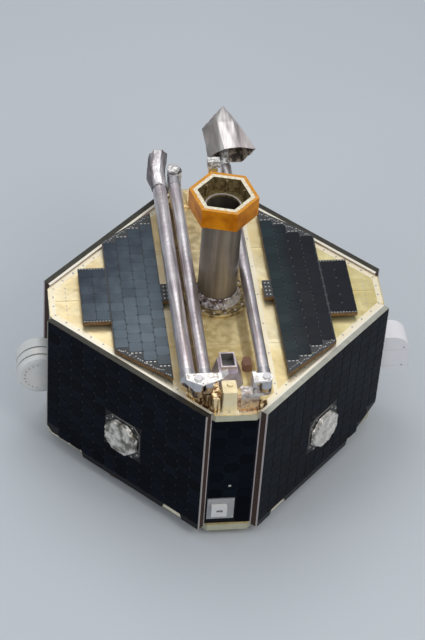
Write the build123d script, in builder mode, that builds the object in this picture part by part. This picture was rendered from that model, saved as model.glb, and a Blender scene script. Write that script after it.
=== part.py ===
from build123d import *
from math import cos, radians, sin, sqrt
import os

os.makedirs("parts", exist_ok=True)

# Bus: a square prism standing on its ring, with its four corners cut.
# Long sides face 45 degrees off the axes, narrow corners face +X, +Y, -X and -Y.
side_distance = 400.0
corner_width = 165.0
panel_thickness = 25.0
panel_bottom = 40.0
panel_top = 490.0
floor_bottom = 26.0
deck_thickness = 22.0
deck_top = 484.0
deck_corner_distance = 474.0
corner_panel_outer = 466.0
corner_panel_thickness = 6.0

# Raised solar array plates on both decks
array_inner = 158.0
array_outer = 308.0
array_step = 386.0
array_half_length = 345.0
array_shoulder = 225.0
array_step_half = 112.0
array_thickness = 12.0
array_gap = 10.0

# Mast and antenna collar
mast_radius = 55.0
mast_wall = 3.0
mast_bore = 47.0
collar_top = 864.0
collar_height = 61.0
collar_radius = 97.0
collar_wall = 23.0
collar_turn = -14.5
collar_floor = 812.0
cup_depth = 46.0

# Folding booms
boom_height = 570.0
inner_boom_radius = 17.5
outer_boom_radius = 20.5
coil_boom_radius = 16.5
boom_wall = 1.5
inner_boom_x = -83.0
outer_boom_x = -129.0
root_hinge_y = 437.0
elbow_x = (inner_boom_x + outer_boom_x) / 2
elbow_y = -446.0
coil_boom_x = 77.0
coil_hinge_y = -446.0
pin_radius = 6.0
pin_clearance = 0.05
hub_radius = 16.0
hub_half_height = 18.0
lug_gap = 1.0
lug_thickness = 8.0
sleeve_gap = 0.1
sleeve_wall = 1.2

panel_height = panel_top - panel_bottom
panel_half = side_distance - corner_width / sqrt(2)
inner_side_distance = side_distance - panel_thickness
deck_bottom = deck_top - deck_thickness
floor_top = floor_bottom + deck_thickness
hub_bottom = boom_height - hub_half_height
hub_top = boom_height + hub_half_height
lower_lug_top = hub_bottom - lug_gap
upper_lug_bottom = hub_top + lug_gap
inner_sleeve_radius = inner_boom_radius + sleeve_gap + sleeve_wall
outer_sleeve_radius = outer_boom_radius + sleeve_gap + sleeve_wall
coil_sleeve_radius = coil_boom_radius + sleeve_gap + sleeve_wall


def cut_square(flat_distance, corner_distance):
    """Corner points of a square with cut corners, flats facing 45 degrees."""
    rest = flat_distance * sqrt(2) - corner_distance
    return [
        (corner_distance, rest),
        (rest, corner_distance),
        (-rest, corner_distance),
        (-corner_distance, rest),
        (-corner_distance, -rest),
        (-rest, -corner_distance),
        (rest, -corner_distance),
        (corner_distance, -rest),
    ]


no_align = (Align.NONE, Align.NONE)

# Separation ring: lower clamp lip with bolt holes, thin web, upper flange
ring_profile = [
    (118, 0),
    (150, 0),
    (150, 4),
    (143, 8),
    (143, floor_bottom - 6),
    (156, floor_bottom - 6),
    (156, floor_bottom),
    (137, floor_bottom),
    (137, 8),
    (118, 8),
]
with BuildPart() as separation_ring:
    with BuildSketch(Plane.XZ):
        Polygon(*ring_profile, align=no_align)
    revolve(axis=Axis.Z)
    with BuildSketch(Plane.XY):
        with PolarLocations(127, 12, start_angle=15):
            Circle(3.5)
    extrude(amount=8, mode=Mode.SUBTRACT)
separation_ring.part.label = "separation_ring"
export_step(separation_ring.part, "parts/separation_ring.step")

# Bottom deck and top deck: sandwich plates inside the side panels
with BuildPart() as bottom_deck:
    with BuildSketch(Plane.XY.offset(floor_bottom)):
        Polygon(*cut_square(inner_side_distance, deck_corner_distance), align=no_align)
        Circle(40, mode=Mode.SUBTRACT)
    extrude(amount=deck_thickness)
bottom_deck.part.label = "bottom_deck"
export_step(bottom_deck.part, "parts/bottom_deck.step")

with BuildPart() as top_deck:
    with BuildSketch(Plane.XY.offset(deck_bottom)):
        Polygon(*cut_square(inner_side_distance, deck_corner_distance), align=no_align)
        Circle(mast_bore, mode=Mode.SUBTRACT)
    extrude(amount=deck_thickness)
top_deck.part.label = "top_deck"
export_step(top_deck.part, "parts/top_deck.step")

# Central tube between the decks and one plain inner equipment box
with BuildPart() as central_tube:
    with BuildSketch(Plane.XY.offset(floor_top)):
        Circle(62)
        Circle(58, mode=Mode.SUBTRACT)
    extrude(amount=deck_bottom - floor_top)
central_tube.part.label = "central_tube"
export_step(central_tube.part, "parts/central_tube.step")

with BuildPart() as equipment_box:
    with BuildSketch(Plane.XY.offset(floor_top)):
        with Locations((0, 190)):
            Rectangle(260, 180)
    extrude(amount=170)
equipment_box.part.label = "equipment_box"
export_step(equipment_box.part, "parts/equipment_box.step")

# Four long side panels. The lower edge is relieved near both ends.
# Columns: name, direction of the outward normal, end at the X corner, cut length, cut height
side_panels = [
    ("side_panel_near_left", 225, -1, 22, 41),
    ("side_panel_near_right", 315, 1, 109, 77),
    ("side_panel_far_right", 45, -1, 109, 77),
    ("side_panel_far_left", 135, 1, 22, 41),
]
cover_height = 185.0
for name, angle, end, cut_length, cut_height in side_panels:
    normal = Vector(cos(radians(angle)), sin(radians(angle)), 0)
    along = Vector(-sin(radians(angle)), cos(radians(angle)), 0)
    foot = normal * side_distance + Vector(0, 0, panel_bottom)
    face_plane = Plane(origin=foot, x_dir=along, z_dir=normal)
    outline = [
        (-panel_half, panel_height),
        (-panel_half, 0),
        (-222, 0),
        (-215, 18),
        (-157, 18),
        (-150, 0),
        (143, 0),
        (150, 22),
        (panel_half - cut_length, 22),
        (panel_half, cut_height),
        (panel_half, panel_height),
    ]
    outline = [(end * x, y) for x, y in outline]
    with BuildPart() as side_panel:
        with BuildSketch(face_plane):
            Polygon(*outline, align=no_align)
            with Locations((0, cover_height)):
                Circle(39, mode=Mode.SUBTRACT)
        extrude(amount=panel_thickness, dir=-normal)
    side_panel.part.label = name
    export_step(side_panel.part, f"parts/{name}.step")

    # Wire boom cover: flat clipped plate over the hole, then an eight-sided foil cap
    place = name.replace("side_panel_", "")
    with BuildPart() as cover_plate:
        with BuildSketch(face_plane):
            with Locations((0, cover_height)):
                plate_face = Rectangle(124, 124)
            chamfer(plate_face.vertices(), length=22)
        extrude(amount=3, dir=normal)
    cover_plate.part.label = f"wire_boom_plate_{place}"
    export_step(cover_plate.part, f"parts/wire_boom_plate_{place}.step")
    with BuildPart() as cover_cap:
        with BuildSketch(face_plane.offset(3)):
            with Locations((0, cover_height)):
                RegularPolygon(62, 8, rotation=22.5)
        extrude(amount=16, dir=normal, taper=14)
    cover_cap.part.label = f"wire_boom_cap_{place}"
    export_step(cover_cap.part, f"parts/wire_boom_cap_{place}.step")

# Four narrow corner panels set back between the side panels
# Columns: name, direction of the outward normal, opening width, opening bottom, opening top
corner_panels = [
    ("corner_panel_right", 0, 82, 200, 336),
    ("corner_panel_far", 90, 0, 0, 0),
    ("corner_panel_left", 180, 108, 176, 314),
    ("corner_panel_near", 270, 0, 0, 0),
]
corner_half = inner_side_distance * sqrt(2) - corner_panel_outer
for name, angle, opening_width, opening_bottom, opening_top in corner_panels:
    normal = Vector(cos(radians(angle)), sin(radians(angle)), 0)
    along = Vector(-sin(radians(angle)), cos(radians(angle)), 0)
    plan = Plane(origin=(0, 0, floor_top), x_dir=along, z_dir=(0, 0, 1))
    face_plane = Plane(origin=normal * (corner_panel_outer + 5), x_dir=along, z_dir=normal)
    with BuildPart() as corner_panel:
        with BuildSketch(plan):
            Polygon(
                (-corner_half, -corner_panel_outer),
                (corner_half, -corner_panel_outer),
                (corner_half + corner_panel_thickness, corner_panel_thickness - corner_panel_outer),
                (-corner_half - corner_panel_thickness, corner_panel_thickness - corner_panel_outer),
                align=no_align,
            )
        extrude(amount=deck_bottom - floor_top)
        if opening_width > 0:
            with BuildSketch(face_plane):
                with Locations((0, (opening_bottom + opening_top) / 2)):
                    Rectangle(opening_width, opening_top - opening_bottom)
            extrude(amount=20, dir=-normal, mode=Mode.SUBTRACT)
    corner_panel.part.label = name
    export_step(corner_panel.part, f"parts/{name}.step")

# Solar array plates on stand-off posts, two above the top deck and two below the bottom deck
# Columns: name, side, height of the deck face, direction away from the deck
arrays = [
    ("top_array_left", -1, deck_top, 1),
    ("top_array_right", 1, deck_top, 1),
    ("bottom_array_left", -1, floor_bottom, -1),
    ("bottom_array_right", 1, floor_bottom, -1),
]
array_outline = [
    (array_inner, -array_half_length),
    (array_outer, -array_shoulder),
    (array_outer, -array_step_half),
    (array_step, -array_step_half),
    (array_step, array_step_half),
    (array_outer, array_step_half),
    (array_outer, array_shoulder),
    (array_inner, array_half_length),
]
connector_tab = [
    (array_inner, 35),
    (array_inner - 25, 35),
    (array_inner - 25, -35),
    (array_inner, -35),
]
post_places = [(185, -285), (185, 285), (280, -190), (280, 190), (360, -85), (360, 85), (175, 0)]
for name, side, face_height, away in arrays:
    with BuildPart() as array_plate:
        with BuildSketch(Plane.XY.offset(face_height + away * array_gap)):
            Polygon(*[(side * x, y) for x, y in array_outline], align=no_align)
            if away == 1:
                Polygon(*[(side * x, y) for x, y in connector_tab], align=no_align)
        extrude(amount=array_thickness, dir=(0, 0, away))
        with BuildSketch(Plane.XY.offset(face_height)):
            with Locations(*[(side * x, y) for x, y in post_places]):
                Circle(8)
        extrude(amount=array_gap, dir=(0, 0, away))
    array_plate.part.label = name
    export_step(array_plate.part, f"parts/{name}.step")

# Mast: foot flange, tube, crumpled foil skirt round the foot
with BuildPart() as mast_flange:
    with BuildSketch(Plane.XY.offset(deck_top)):
        Circle(92)
        Circle(mast_bore, mode=Mode.SUBTRACT)
    extrude(amount=8)
    chamfer(mast_flange.edges().group_by(Axis.Z)[-1].sort_by(SortBy.RADIUS)[-1], length=3)
mast_flange.part.label = "mast_flange"
export_step(mast_flange.part, "parts/mast_flange.step")

mast_foot = deck_top + 8
with BuildPart() as mast_tube:
    with BuildSketch(Plane.XY.offset(mast_foot)):
        Circle(mast_radius)
        Circle(mast_radius - mast_wall, mode=Mode.SUBTRACT)
    extrude(amount=collar_floor - mast_foot)
mast_tube.part.label = "mast_tube"
export_step(mast_tube.part, "parts/mast_tube.step")

skirt_profile = [
    (mast_radius, mast_foot),
    (70, mast_foot),
    (68, mast_foot + 8),
    (62, mast_foot + 20),
    (59, mast_foot + 30),
    (mast_radius, mast_foot + 32),
]
with BuildPart() as mast_skirt:
    with BuildSketch(Plane.XZ):
        Polygon(*skirt_profile, align=no_align)
    revolve(axis=Axis.Z)
mast_skirt.part.label = "mast_skirt"
export_step(mast_skirt.part, "parts/mast_skirt.step")

# Six-sided antenna collar: open cup over the mast with a raised ring round the bore,
# a stiffening rib in the middle of each inner wall and an open skirt below the floor
cup_floor = collar_top - cup_depth
wall_distance = (collar_radius - collar_wall) * cos(radians(30))
with BuildPart() as antenna_collar:
    with BuildSketch(Plane.XY.offset(collar_top - collar_height)):
        RegularPolygon(collar_radius, 6, rotation=collar_turn)
    extrude(amount=collar_height)
    with BuildSketch(Plane.XY.offset(collar_top)):
        RegularPolygon(collar_radius - collar_wall, 6, rotation=collar_turn)
    extrude(amount=-cup_depth, mode=Mode.SUBTRACT)
    with BuildSketch(Plane.XY.offset(collar_top - collar_height)):
        RegularPolygon(collar_radius - collar_wall, 6, rotation=collar_turn)
    extrude(amount=collar_floor - collar_top + collar_height, mode=Mode.SUBTRACT)
    with BuildSketch(Plane.XY.offset(cup_floor)):
        with PolarLocations(wall_distance - 2, 6, start_angle=collar_turn + 30):
            Rectangle(8, 4)
    extrude(amount=cup_depth - 6)
    with BuildSketch(Plane.XY.offset(cup_floor)):
        Circle(mast_bore + 5)
    extrude(amount=2)
    with BuildSketch(Plane.XY.offset(collar_floor)):
        Circle(mast_bore)
    extrude(amount=cup_floor - collar_floor + 2, mode=Mode.SUBTRACT)
antenna_collar.part.label = "antenna_collar"
export_step(antenna_collar.part, "parts/antenna_collar.step")

# Far bracket: pedestal at the far corner carrying the root hinge of the folded boom
with BuildPart() as far_bracket:
    with BuildSketch(Plane.XY.offset(deck_top)):
        Polygon((-90, 385), (-10, 385), (-10, 465), (-50, 465), (-90, 425), align=no_align)
    extrude(amount=5)
    with BuildSketch(Plane.XY.offset(deck_top + 5)):
        with Locations((-62, 416)):
            Rectangle(46, 46)
    with BuildSketch(Plane.XY.offset(530)):
        with Locations((inner_boom_x, root_hinge_y)):
            Rectangle(34, 34)
    loft()
    with BuildSketch(Plane.XY.offset(530)):
        with Locations((inner_boom_x, root_hinge_y)):
            Circle(hub_radius)
    extrude(amount=lower_lug_top - 530)
far_bracket.part.label = "far_bracket"
export_step(far_bracket.part, "parts/far_bracket.step")

with BuildPart() as far_hinge_pin:
    with BuildSketch(Plane.XY.offset(lower_lug_top)):
        with Locations((inner_boom_x, root_hinge_y)):
            Circle(pin_radius)
    extrude(amount=upper_lug_bottom - lower_lug_top)
    with BuildSketch(Plane.XY.offset(upper_lug_bottom)):
        with Locations((inner_boom_x, root_hinge_y)):
            RegularPolygon(12, 6)
    extrude(amount=7)
far_hinge_pin.part.label = "far_hinge_pin"
export_step(far_hinge_pin.part, "parts/far_hinge_pin.step")

# Inner boom segment with its root hub
inner_tube_far = root_hinge_y - 32
inner_tube_near = elbow_y + 32
with BuildPart() as inner_boom_hub:
    with BuildSketch(Plane.XY.offset(hub_bottom)):
        with Locations((inner_boom_x, root_hinge_y)):
            Circle(hub_radius)
        with Locations((inner_boom_x, root_hinge_y - 12)):
            Rectangle(26, 24)
        with Locations((inner_boom_x, root_hinge_y)):
            Circle(pin_radius + pin_clearance, mode=Mode.SUBTRACT)
    extrude(amount=2 * hub_half_height)
    with BuildSketch(Plane.XZ.offset(-inner_tube_far)):
        with Locations((inner_boom_x, boom_height)):
            Circle(inner_sleeve_radius)
    extrude(amount=10, dir=(0, 1, 0))
    with BuildSketch(Plane.XZ.offset(-inner_tube_far)):
        with Locations((inner_boom_x, boom_height)):
            Circle(inner_sleeve_radius)
            Circle(inner_boom_radius + sleeve_gap, mode=Mode.SUBTRACT)
    extrude(amount=20, dir=(0, -1, 0))
inner_boom_hub.part.label = "inner_boom_hub"
export_step(inner_boom_hub.part, "parts/inner_boom_hub.step")

with BuildPart() as inner_boom_tube:
    with BuildSketch(Plane.XZ.offset(-inner_tube_far)):
        with Locations((inner_boom_x, boom_height)):
            Circle(inner_boom_radius)
            Circle(inner_boom_radius - boom_wall, mode=Mode.SUBTRACT)
    extrude(amount=inner_tube_far - inner_tube_near, dir=(0, -1, 0))
inner_boom_tube.part.label = "inner_boom_tube"
export_step(inner_boom_tube.part, "parts/inner_boom_tube.step")

# Elbow fork: two plates and a web that end the inner segment
with BuildPart() as elbow_fork:
    for level in (lower_lug_top - lug_thickness, upper_lug_bottom):
        with BuildSketch(Plane.XY.offset(level)):
            with Locations((elbow_x, elbow_y)):
                Circle(hub_radius)
            with Locations((elbow_x + 20.5, elbow_y + 10)):
                Rectangle(41, 20)
            with Locations((elbow_x, elbow_y)):
                Circle(pin_radius, mode=Mode.SUBTRACT)
        extrude(amount=lug_thickness)
    with BuildSketch(Plane.XY.offset(lower_lug_top - lug_thickness)):
        with Locations((elbow_x + 31.5, elbow_y + 12)):
            Rectangle(19, 24)
    extrude(amount=upper_lug_bottom - lower_lug_top + 2 * lug_thickness)
    with BuildSketch(Plane.XZ.offset(-inner_tube_near)):
        with Locations((inner_boom_x, boom_height)):
            Circle(inner_sleeve_radius)
    extrude(amount=10, dir=(0, -1, 0))
    with BuildSketch(Plane.XZ.offset(-inner_tube_near)):
        with Locations((inner_boom_x, boom_height)):
            Circle(inner_sleeve_radius)
            Circle(inner_boom_radius + sleeve_gap, mode=Mode.SUBTRACT)
    extrude(amount=20, dir=(0, 1, 0))
elbow_fork.part.label = "elbow_fork"
export_step(elbow_fork.part, "parts/elbow_fork.step")

# Elbow plate: arrow-shaped sheet on top of the fork that reaches over both folded
# segments, with an upturned ear at its right end
elbow_plate_bottom = upper_lug_bottom + lug_thickness
elbow_plate_thickness = 3.0
plate_left = elbow_x - 32
plate_right = elbow_x + 66
ear_profile = [
    (plate_right - 2, elbow_plate_bottom),
    (plate_right + 14, elbow_plate_bottom + 14),
    (plate_right + 12, elbow_plate_bottom + 16),
    (plate_right - 3, elbow_plate_bottom + 3),
    (plate_right - 8, elbow_plate_bottom + 3),
    (plate_right - 8, elbow_plate_bottom),
]
with BuildPart() as elbow_plate:
    with BuildSketch(Plane.XY.offset(elbow_plate_bottom)):
        with BuildLine():
            Polyline(
                (plate_left, elbow_y + 20),
                (plate_right, elbow_y + 20),
                (plate_right, elbow_y - 2),
                (elbow_x + 11, elbow_y - 26),
                (plate_left, elbow_y - 2),
                close=True,
            )
        make_face()
        with Locations((elbow_x, elbow_y)):
            Circle(pin_radius, mode=Mode.SUBTRACT)
    extrude(amount=elbow_plate_thickness)
    with BuildSketch(Plane.XZ.offset(-elbow_y)):
        Polygon(*ear_profile, align=no_align)
    extrude(amount=20, dir=(0, 1, 0))
elbow_plate.part.label = "elbow_plate"
export_step(elbow_plate.part, "parts/elbow_plate.step")

nut_bottom = elbow_plate_bottom + elbow_plate_thickness
with BuildPart() as elbow_pin:
    with BuildSketch(Plane.XY.offset(lower_lug_top - lug_thickness)):
        with Locations((elbow_x, elbow_y)):
            Circle(pin_radius)
    extrude(amount=nut_bottom - lower_lug_top + lug_thickness)
    with BuildSketch(Plane.XY.offset(nut_bottom)):
        with Locations((elbow_x, elbow_y)):
            RegularPolygon(12, 6)
    extrude(amount=6)
elbow_pin.part.label = "elbow_pin"
export_step(elbow_pin.part, "parts/elbow_pin.step")

# Outer boom segment: tongue at the elbow, tube, magnetometer can at the far end
outer_tube_near = elbow_y + 32
tube_end = 395.0
with BuildPart() as elbow_tongue:
    with BuildSketch(Plane.XY.offset(hub_bottom)):
        with BuildLine():
            Polyline(
                (elbow_x + 9, elbow_y + 11),
                (elbow_x - 7, elbow_y + 24),
                (elbow_x - 35, elbow_y + 24),
                (elbow_x - 13, elbow_y - 5),
                (elbow_x + 9, elbow_y - 5),
                close=True,
            )
        make_face()
        with Locations((elbow_x, elbow_y)):
            Circle(hub_radius - 1)
        with Locations((elbow_x, elbow_y)):
            Circle(pin_radius + pin_clearance, mode=Mode.SUBTRACT)
    extrude(amount=2 * hub_half_height)
    with BuildSketch(Plane.XZ.offset(-outer_tube_near)):
        with Locations((outer_boom_x, boom_height)):
            Circle(outer_sleeve_radius)
    extrude(amount=10, dir=(0, -1, 0))
    with BuildSketch(Plane.XZ.offset(-outer_tube_near)):
        with Locations((outer_boom_x, boom_height)):
            Circle(outer_sleeve_radius)
            Circle(outer_boom_radius + sleeve_gap, mode=Mode.SUBTRACT)
    extrude(amount=20, dir=(0, 1, 0))
elbow_tongue.part.label = "elbow_tongue"
export_step(elbow_tongue.part, "parts/elbow_tongue.step")

with BuildPart() as outer_boom_tube:
    with BuildSketch(Plane.XZ.offset(-outer_tube_near)):
        with Locations((outer_boom_x, boom_height)):
            Circle(outer_boom_radius)
            Circle(outer_boom_radius - boom_wall, mode=Mode.SUBTRACT)
    extrude(amount=tube_end - outer_tube_near, dir=(0, 1, 0))
outer_boom_tube.part.label = "outer_boom_tube"
export_step(outer_boom_tube.part, "parts/outer_boom_tube.step")

# Magnetometer can: foil tent lofted through eight-sided sections, wider on its left side,
# its far end raised
# Columns: place along Y, centre along X, centre height, half width
can_sections = [
    (372, -129.2, 570.0, 21.8),
    (430, -135.5, 575.0, 28.5),
    (504, -122.0, 588.0, 28.5),
]
with BuildPart() as magnetometer_can:
    for place_y, centre_x, centre_height, half_width in can_sections:
        with BuildSketch(Plane.XZ.offset(-place_y)):
            with Locations((centre_x, centre_height)):
                RegularPolygon(half_width, 8, major_radius=False, rotation=22.5)
    loft(ruled=True)
    with BuildSketch(Plane.XZ.offset(-can_sections[0][0])):
        with Locations((outer_boom_x, boom_height)):
            Circle(outer_boom_radius)
    extrude(amount=tube_end - can_sections[0][0], dir=(0, 1, 0), mode=Mode.SUBTRACT)
magnetometer_can.part.label = "magnetometer_can"
export_step(magnetometer_can.part, "parts/magnetometer_can.step")

# Elbow tower: wedge-shaped sheet stand under the elbow, open at the back, with upright
# grooves in its slanting face
tower_top = 537.0
tower_lid = 5.0
groove_places = [(-74, -450), (-92, -432), (-110, -414)]
with BuildPart() as elbow_tower:
    with BuildSketch(Plane.XY.offset(deck_top)):
        Polygon((-44, -396), (-44, -462), (-62, -462), (-128, -396), align=no_align)
        Polygon((-50, -396), (-50, -453), (-58, -453), (-115, -396), align=no_align, mode=Mode.SUBTRACT)
        with Locations(*groove_places):
            Rectangle(9, 9, rotation=45, mode=Mode.SUBTRACT)
        with Locations((-53, -462)):
            Rectangle(6, 10, mode=Mode.SUBTRACT)
    extrude(amount=tower_top - tower_lid - deck_top)
    with BuildSketch(Plane.XY.offset(tower_top - tower_lid)):
        Polygon((-44, -396), (-44, -462), (-62, -462), (-128, -396), align=no_align)
    extrude(amount=tower_lid)
elbow_tower.part.label = "elbow_tower"
export_step(elbow_tower.part, "parts/elbow_tower.step")

# Release box: foil-wrapped actuator box between the elbow tower and the coil bracket
with BuildPart() as release_box:
    with BuildSketch(Plane.XY.offset(deck_top)):
        with Locations((-18, -431)):
            Rectangle(44, 54)
    extrude(amount=66, taper=2)
    fillet(release_box.edges().filter_by(Axis.Z, reverse=True).group_by(Axis.Z)[1], radius=5)
    with BuildSketch(Plane.XY.offset(deck_top + 66)):
        with Locations((-16, -424)):
            Circle(9)
    extrude(amount=5, taper=15)
release_box.part.label = "release_box"
export_step(release_box.part, "parts/release_box.step")

# Near bracket: foot plate, front sheet with a flanged shelf behind its upper edge, web
# and the fork that carries the search coil boom
shelf_top = lower_lug_top - lug_thickness
front_sheet = [
    (12, deck_top),
    (60, deck_top),
    (60, shelf_top - 5),
    (51, shelf_top),
    (51, upper_lug_bottom),
    (41, upper_lug_bottom),
    (41, shelf_top),
    (12, shelf_top),
]
with BuildPart() as near_bracket:
    with BuildSketch(Plane.XY.offset(deck_top)):
        Polygon((8, -462), (58, -462), (62, -458), (62, -398), (8, -398), align=no_align)
    extrude(amount=4)
    with BuildSketch(Plane.XZ.offset(458)):
        Polygon(*front_sheet, align=no_align)
    extrude(amount=4, dir=(0, 1, 0))
    with BuildSketch(Plane.XY.offset(shelf_top - 3)):
        Polygon((12, -458), (46, -458), (46, -424), (12, -424), align=no_align)
    extrude(amount=3)
    with BuildSketch(Plane.YZ.offset(41)):
        Polygon((-458, deck_top), (-402, deck_top), (-422, 597), (-458, 597), align=no_align)
    extrude(amount=10)
    for level in (lower_lug_top - lug_thickness, upper_lug_bottom):
        with BuildSketch(Plane.XY.offset(level)):
            with Locations((coil_boom_x, coil_hinge_y)):
                Circle(hub_radius)
            with Locations((59, coil_hinge_y)):
                Rectangle(36, 32)
            with Locations((coil_boom_x, coil_hinge_y)):
                Circle(pin_radius, mode=Mode.SUBTRACT)
        extrude(amount=lug_thickness)
near_bracket.part.label = "near_bracket"
export_step(near_bracket.part, "parts/near_bracket.step")

with BuildPart() as near_hinge_pin:
    with BuildSketch(Plane.XY.offset(lower_lug_top - lug_thickness)):
        with Locations((coil_boom_x, coil_hinge_y)):
            Circle(pin_radius)
    extrude(amount=upper_lug_bottom - lower_lug_top + 2 * lug_thickness)
    with BuildSketch(Plane.XY.offset(upper_lug_bottom + lug_thickness)):
        with Locations((coil_boom_x, coil_hinge_y)):
            RegularPolygon(12, 6)
    extrude(amount=6)
near_hinge_pin.part.label = "near_hinge_pin"
export_step(near_hinge_pin.part, "parts/near_hinge_pin.step")

# Harness block beside the bracket foot and connector block beside the deck instrument
with BuildPart() as harness_block:
    with BuildSketch(Plane.XY.offset(deck_top)):
        Polygon((63, -458), (70, -458), (88, -440), (88, -432), (63, -432), align=no_align)
    extrude(amount=18, taper=6)
    chamfer(harness_block.faces().sort_by(Axis.Z)[-1].edges(), length=2)
harness_block.part.label = "harness_block"
export_step(harness_block.part, "parts/harness_block.step")

with BuildPart() as connector_block:
    with BuildSketch(Plane.XY.offset(deck_top)):
        with Locations((50, -290)):
            connector_face = Rectangle(28, 40)
        chamfer(connector_face.vertices(), length=6)
    extrude(amount=22, taper=8)
connector_block.part.label = "connector_block"
export_step(connector_block.part, "parts/connector_block.step")

# Coil rest: stand at the far corner with a seat under the search coil boom
rest_profile = [
    (24, deck_top),
    (58, deck_top),
    (58, 498),
    (91, 534),
    (91, 546),
    (57, 546),
    (50, 556),
    (50, 604),
    (44, 612),
    (30, 612),
    (24, 606),
]
with BuildPart() as coil_rest:
    with BuildSketch(Plane.XZ.offset(-462)):
        Polygon(*rest_profile, align=no_align)
    extrude(amount=20, dir=(0, -1, 0))
    with BuildSketch(Plane.XZ.offset(-462)):
        Polygon((33, 492), (48, 492), (48, 502), (74, 532), (33, 532), align=no_align)
    extrude(amount=20, dir=(0, -1, 0), mode=Mode.SUBTRACT)
coil_rest.part.label = "coil_rest"
export_step(coil_rest.part, "parts/coil_rest.step")

# Search coil boom: hub, tube, bent neck and faceted foil hood
coil_tube_near = coil_hinge_y + 32
coil_tube_far = 466.5
with BuildPart() as coil_boom_hub:
    with BuildSketch(Plane.XY.offset(hub_bottom)):
        with Locations((coil_boom_x, coil_hinge_y)):
            Circle(hub_radius)
        with Locations((coil_boom_x, coil_hinge_y + 12)):
            Rectangle(26, 24)
        with Locations((coil_boom_x, coil_hinge_y)):
            Circle(pin_radius + pin_clearance, mode=Mode.SUBTRACT)
    extrude(amount=2 * hub_half_height)
    with BuildSketch(Plane.XZ.offset(-coil_tube_near)):
        with Locations((coil_boom_x, boom_height)):
            Circle(coil_sleeve_radius)
    extrude(amount=10, dir=(0, -1, 0))
    with BuildSketch(Plane.XZ.offset(-coil_tube_near)):
        with Locations((coil_boom_x, boom_height)):
            Circle(coil_sleeve_radius)
            Circle(coil_boom_radius + sleeve_gap, mode=Mode.SUBTRACT)
    extrude(amount=20, dir=(0, 1, 0))
coil_boom_hub.part.label = "coil_boom_hub"
export_step(coil_boom_hub.part, "parts/coil_boom_hub.step")

with BuildPart() as coil_boom_tube:
    with BuildSketch(Plane.XZ.offset(-coil_tube_near)):
        with Locations((coil_boom_x, boom_height)):
            Circle(coil_boom_radius)
            Circle(coil_boom_radius - boom_wall, mode=Mode.SUBTRACT)
    extrude(amount=coil_tube_far - coil_tube_near, dir=(0, 1, 0))
coil_boom_tube.part.label = "coil_boom_tube"
export_step(coil_boom_tube.part, "parts/coil_boom_tube.step")

# The hood is lofted along its tilted axis. In its sections X is to the right and Y down.
hood_tilt = 24.5
hood_wall = 4.0
shoulder_distance = 96.0
hood_length = 169.0
pocket_depth = 60.0
neck_bend = 35.0
hood_axis = Vector(0, cos(radians(hood_tilt)), sin(radians(hood_tilt)))
neck_start = Vector(coil_boom_x, coil_tube_far, boom_height)
mouth_centre = neck_start + hood_axis * neck_bend
mouth_plane = Plane(origin=mouth_centre, x_dir=(1, 0, 0), z_dir=hood_axis)
mouth_outline = [(-48, 34), (56, 44), (91, -44), (40, -60), (-6, -50), (-47, -2)]
shoulder_outline = [(-50, 36), (30, 44), (62, 2), (30, -40), (-20, -42), (-63, 2)]
pocket_share = pocket_depth / shoulder_distance
pocket_outline = [
    (near[0] + pocket_share * (far[0] - near[0]), near[1] + pocket_share * (far[1] - near[1]))
    for near, far in zip(mouth_outline, shoulder_outline)
]
tip_outline = [(8.5 + 0.06 * x, 0.06 * y) for x, y in shoulder_outline]
neck_base = Plane(origin=neck_start - hood_axis * 12, x_dir=(1, 0, 0), z_dir=hood_axis)
with BuildPart() as coil_neck:
    with BuildSketch(neck_base):
        Circle(17)
    extrude(amount=neck_bend + 12, taper=6)
    with BuildSketch(mouth_plane):
        Circle(12)
    extrude(amount=pocket_depth)
    split(bisect_by=Plane.XZ.offset(-coil_tube_far), keep=Keep.BOTTOM)
coil_neck.part.label = "coil_neck"
export_step(coil_neck.part, "parts/coil_neck.step")

with BuildPart() as coil_hood:
    with BuildSketch(mouth_plane):
        Polygon(*mouth_outline, align=no_align)
    with BuildSketch(mouth_plane.offset(shoulder_distance)):
        Polygon(*shoulder_outline, align=no_align)
    with BuildSketch(mouth_plane.offset(hood_length)):
        Polygon(*tip_outline, align=no_align)
    loft(ruled=True)
    with BuildSketch(mouth_plane):
        Polygon(*mouth_outline, align=no_align)
        offset(amount=-hood_wall, kind=Kind.INTERSECTION, mode=Mode.REPLACE)
    with BuildSketch(mouth_plane.offset(pocket_depth)):
        Polygon(*pocket_outline, align=no_align)
        offset(amount=-hood_wall, kind=Kind.INTERSECTION, mode=Mode.REPLACE)
    loft(ruled=True, mode=Mode.SUBTRACT)
coil_hood.part.label = "coil_hood"
export_step(coil_hood.part, "parts/coil_hood.step")

# Deck instrument between the booms: sloped foil body and a square snout with its window
instrument_top = deck_top + 40
with BuildPart() as deck_instrument:
    with BuildSketch(Plane.XY.offset(deck_top)):
        with Locations((-9, -330)):
            body_face = Rectangle(84, 96)
        chamfer(body_face.vertices(), length=21)
    with BuildSketch(Plane.XY.offset(instrument_top)):
        with Locations((-9, -320)):
            crown_face = Rectangle(52, 68)
        chamfer(crown_face.vertices(), length=7)
    loft(ruled=True)
    with BuildSketch(Plane.XY.offset(instrument_top)):
        with Locations((-9, -318)):
            Rectangle(42, 58)
    extrude(amount=18)
    with BuildSketch(Plane.XY.offset(instrument_top + 18)):
        with Locations((-9, -318)):
            Rectangle(34, 48)
    extrude(amount=-26, mode=Mode.SUBTRACT)
deck_instrument.part.label = "deck_instrument"
export_step(deck_instrument.part, "parts/deck_instrument.step")

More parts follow.
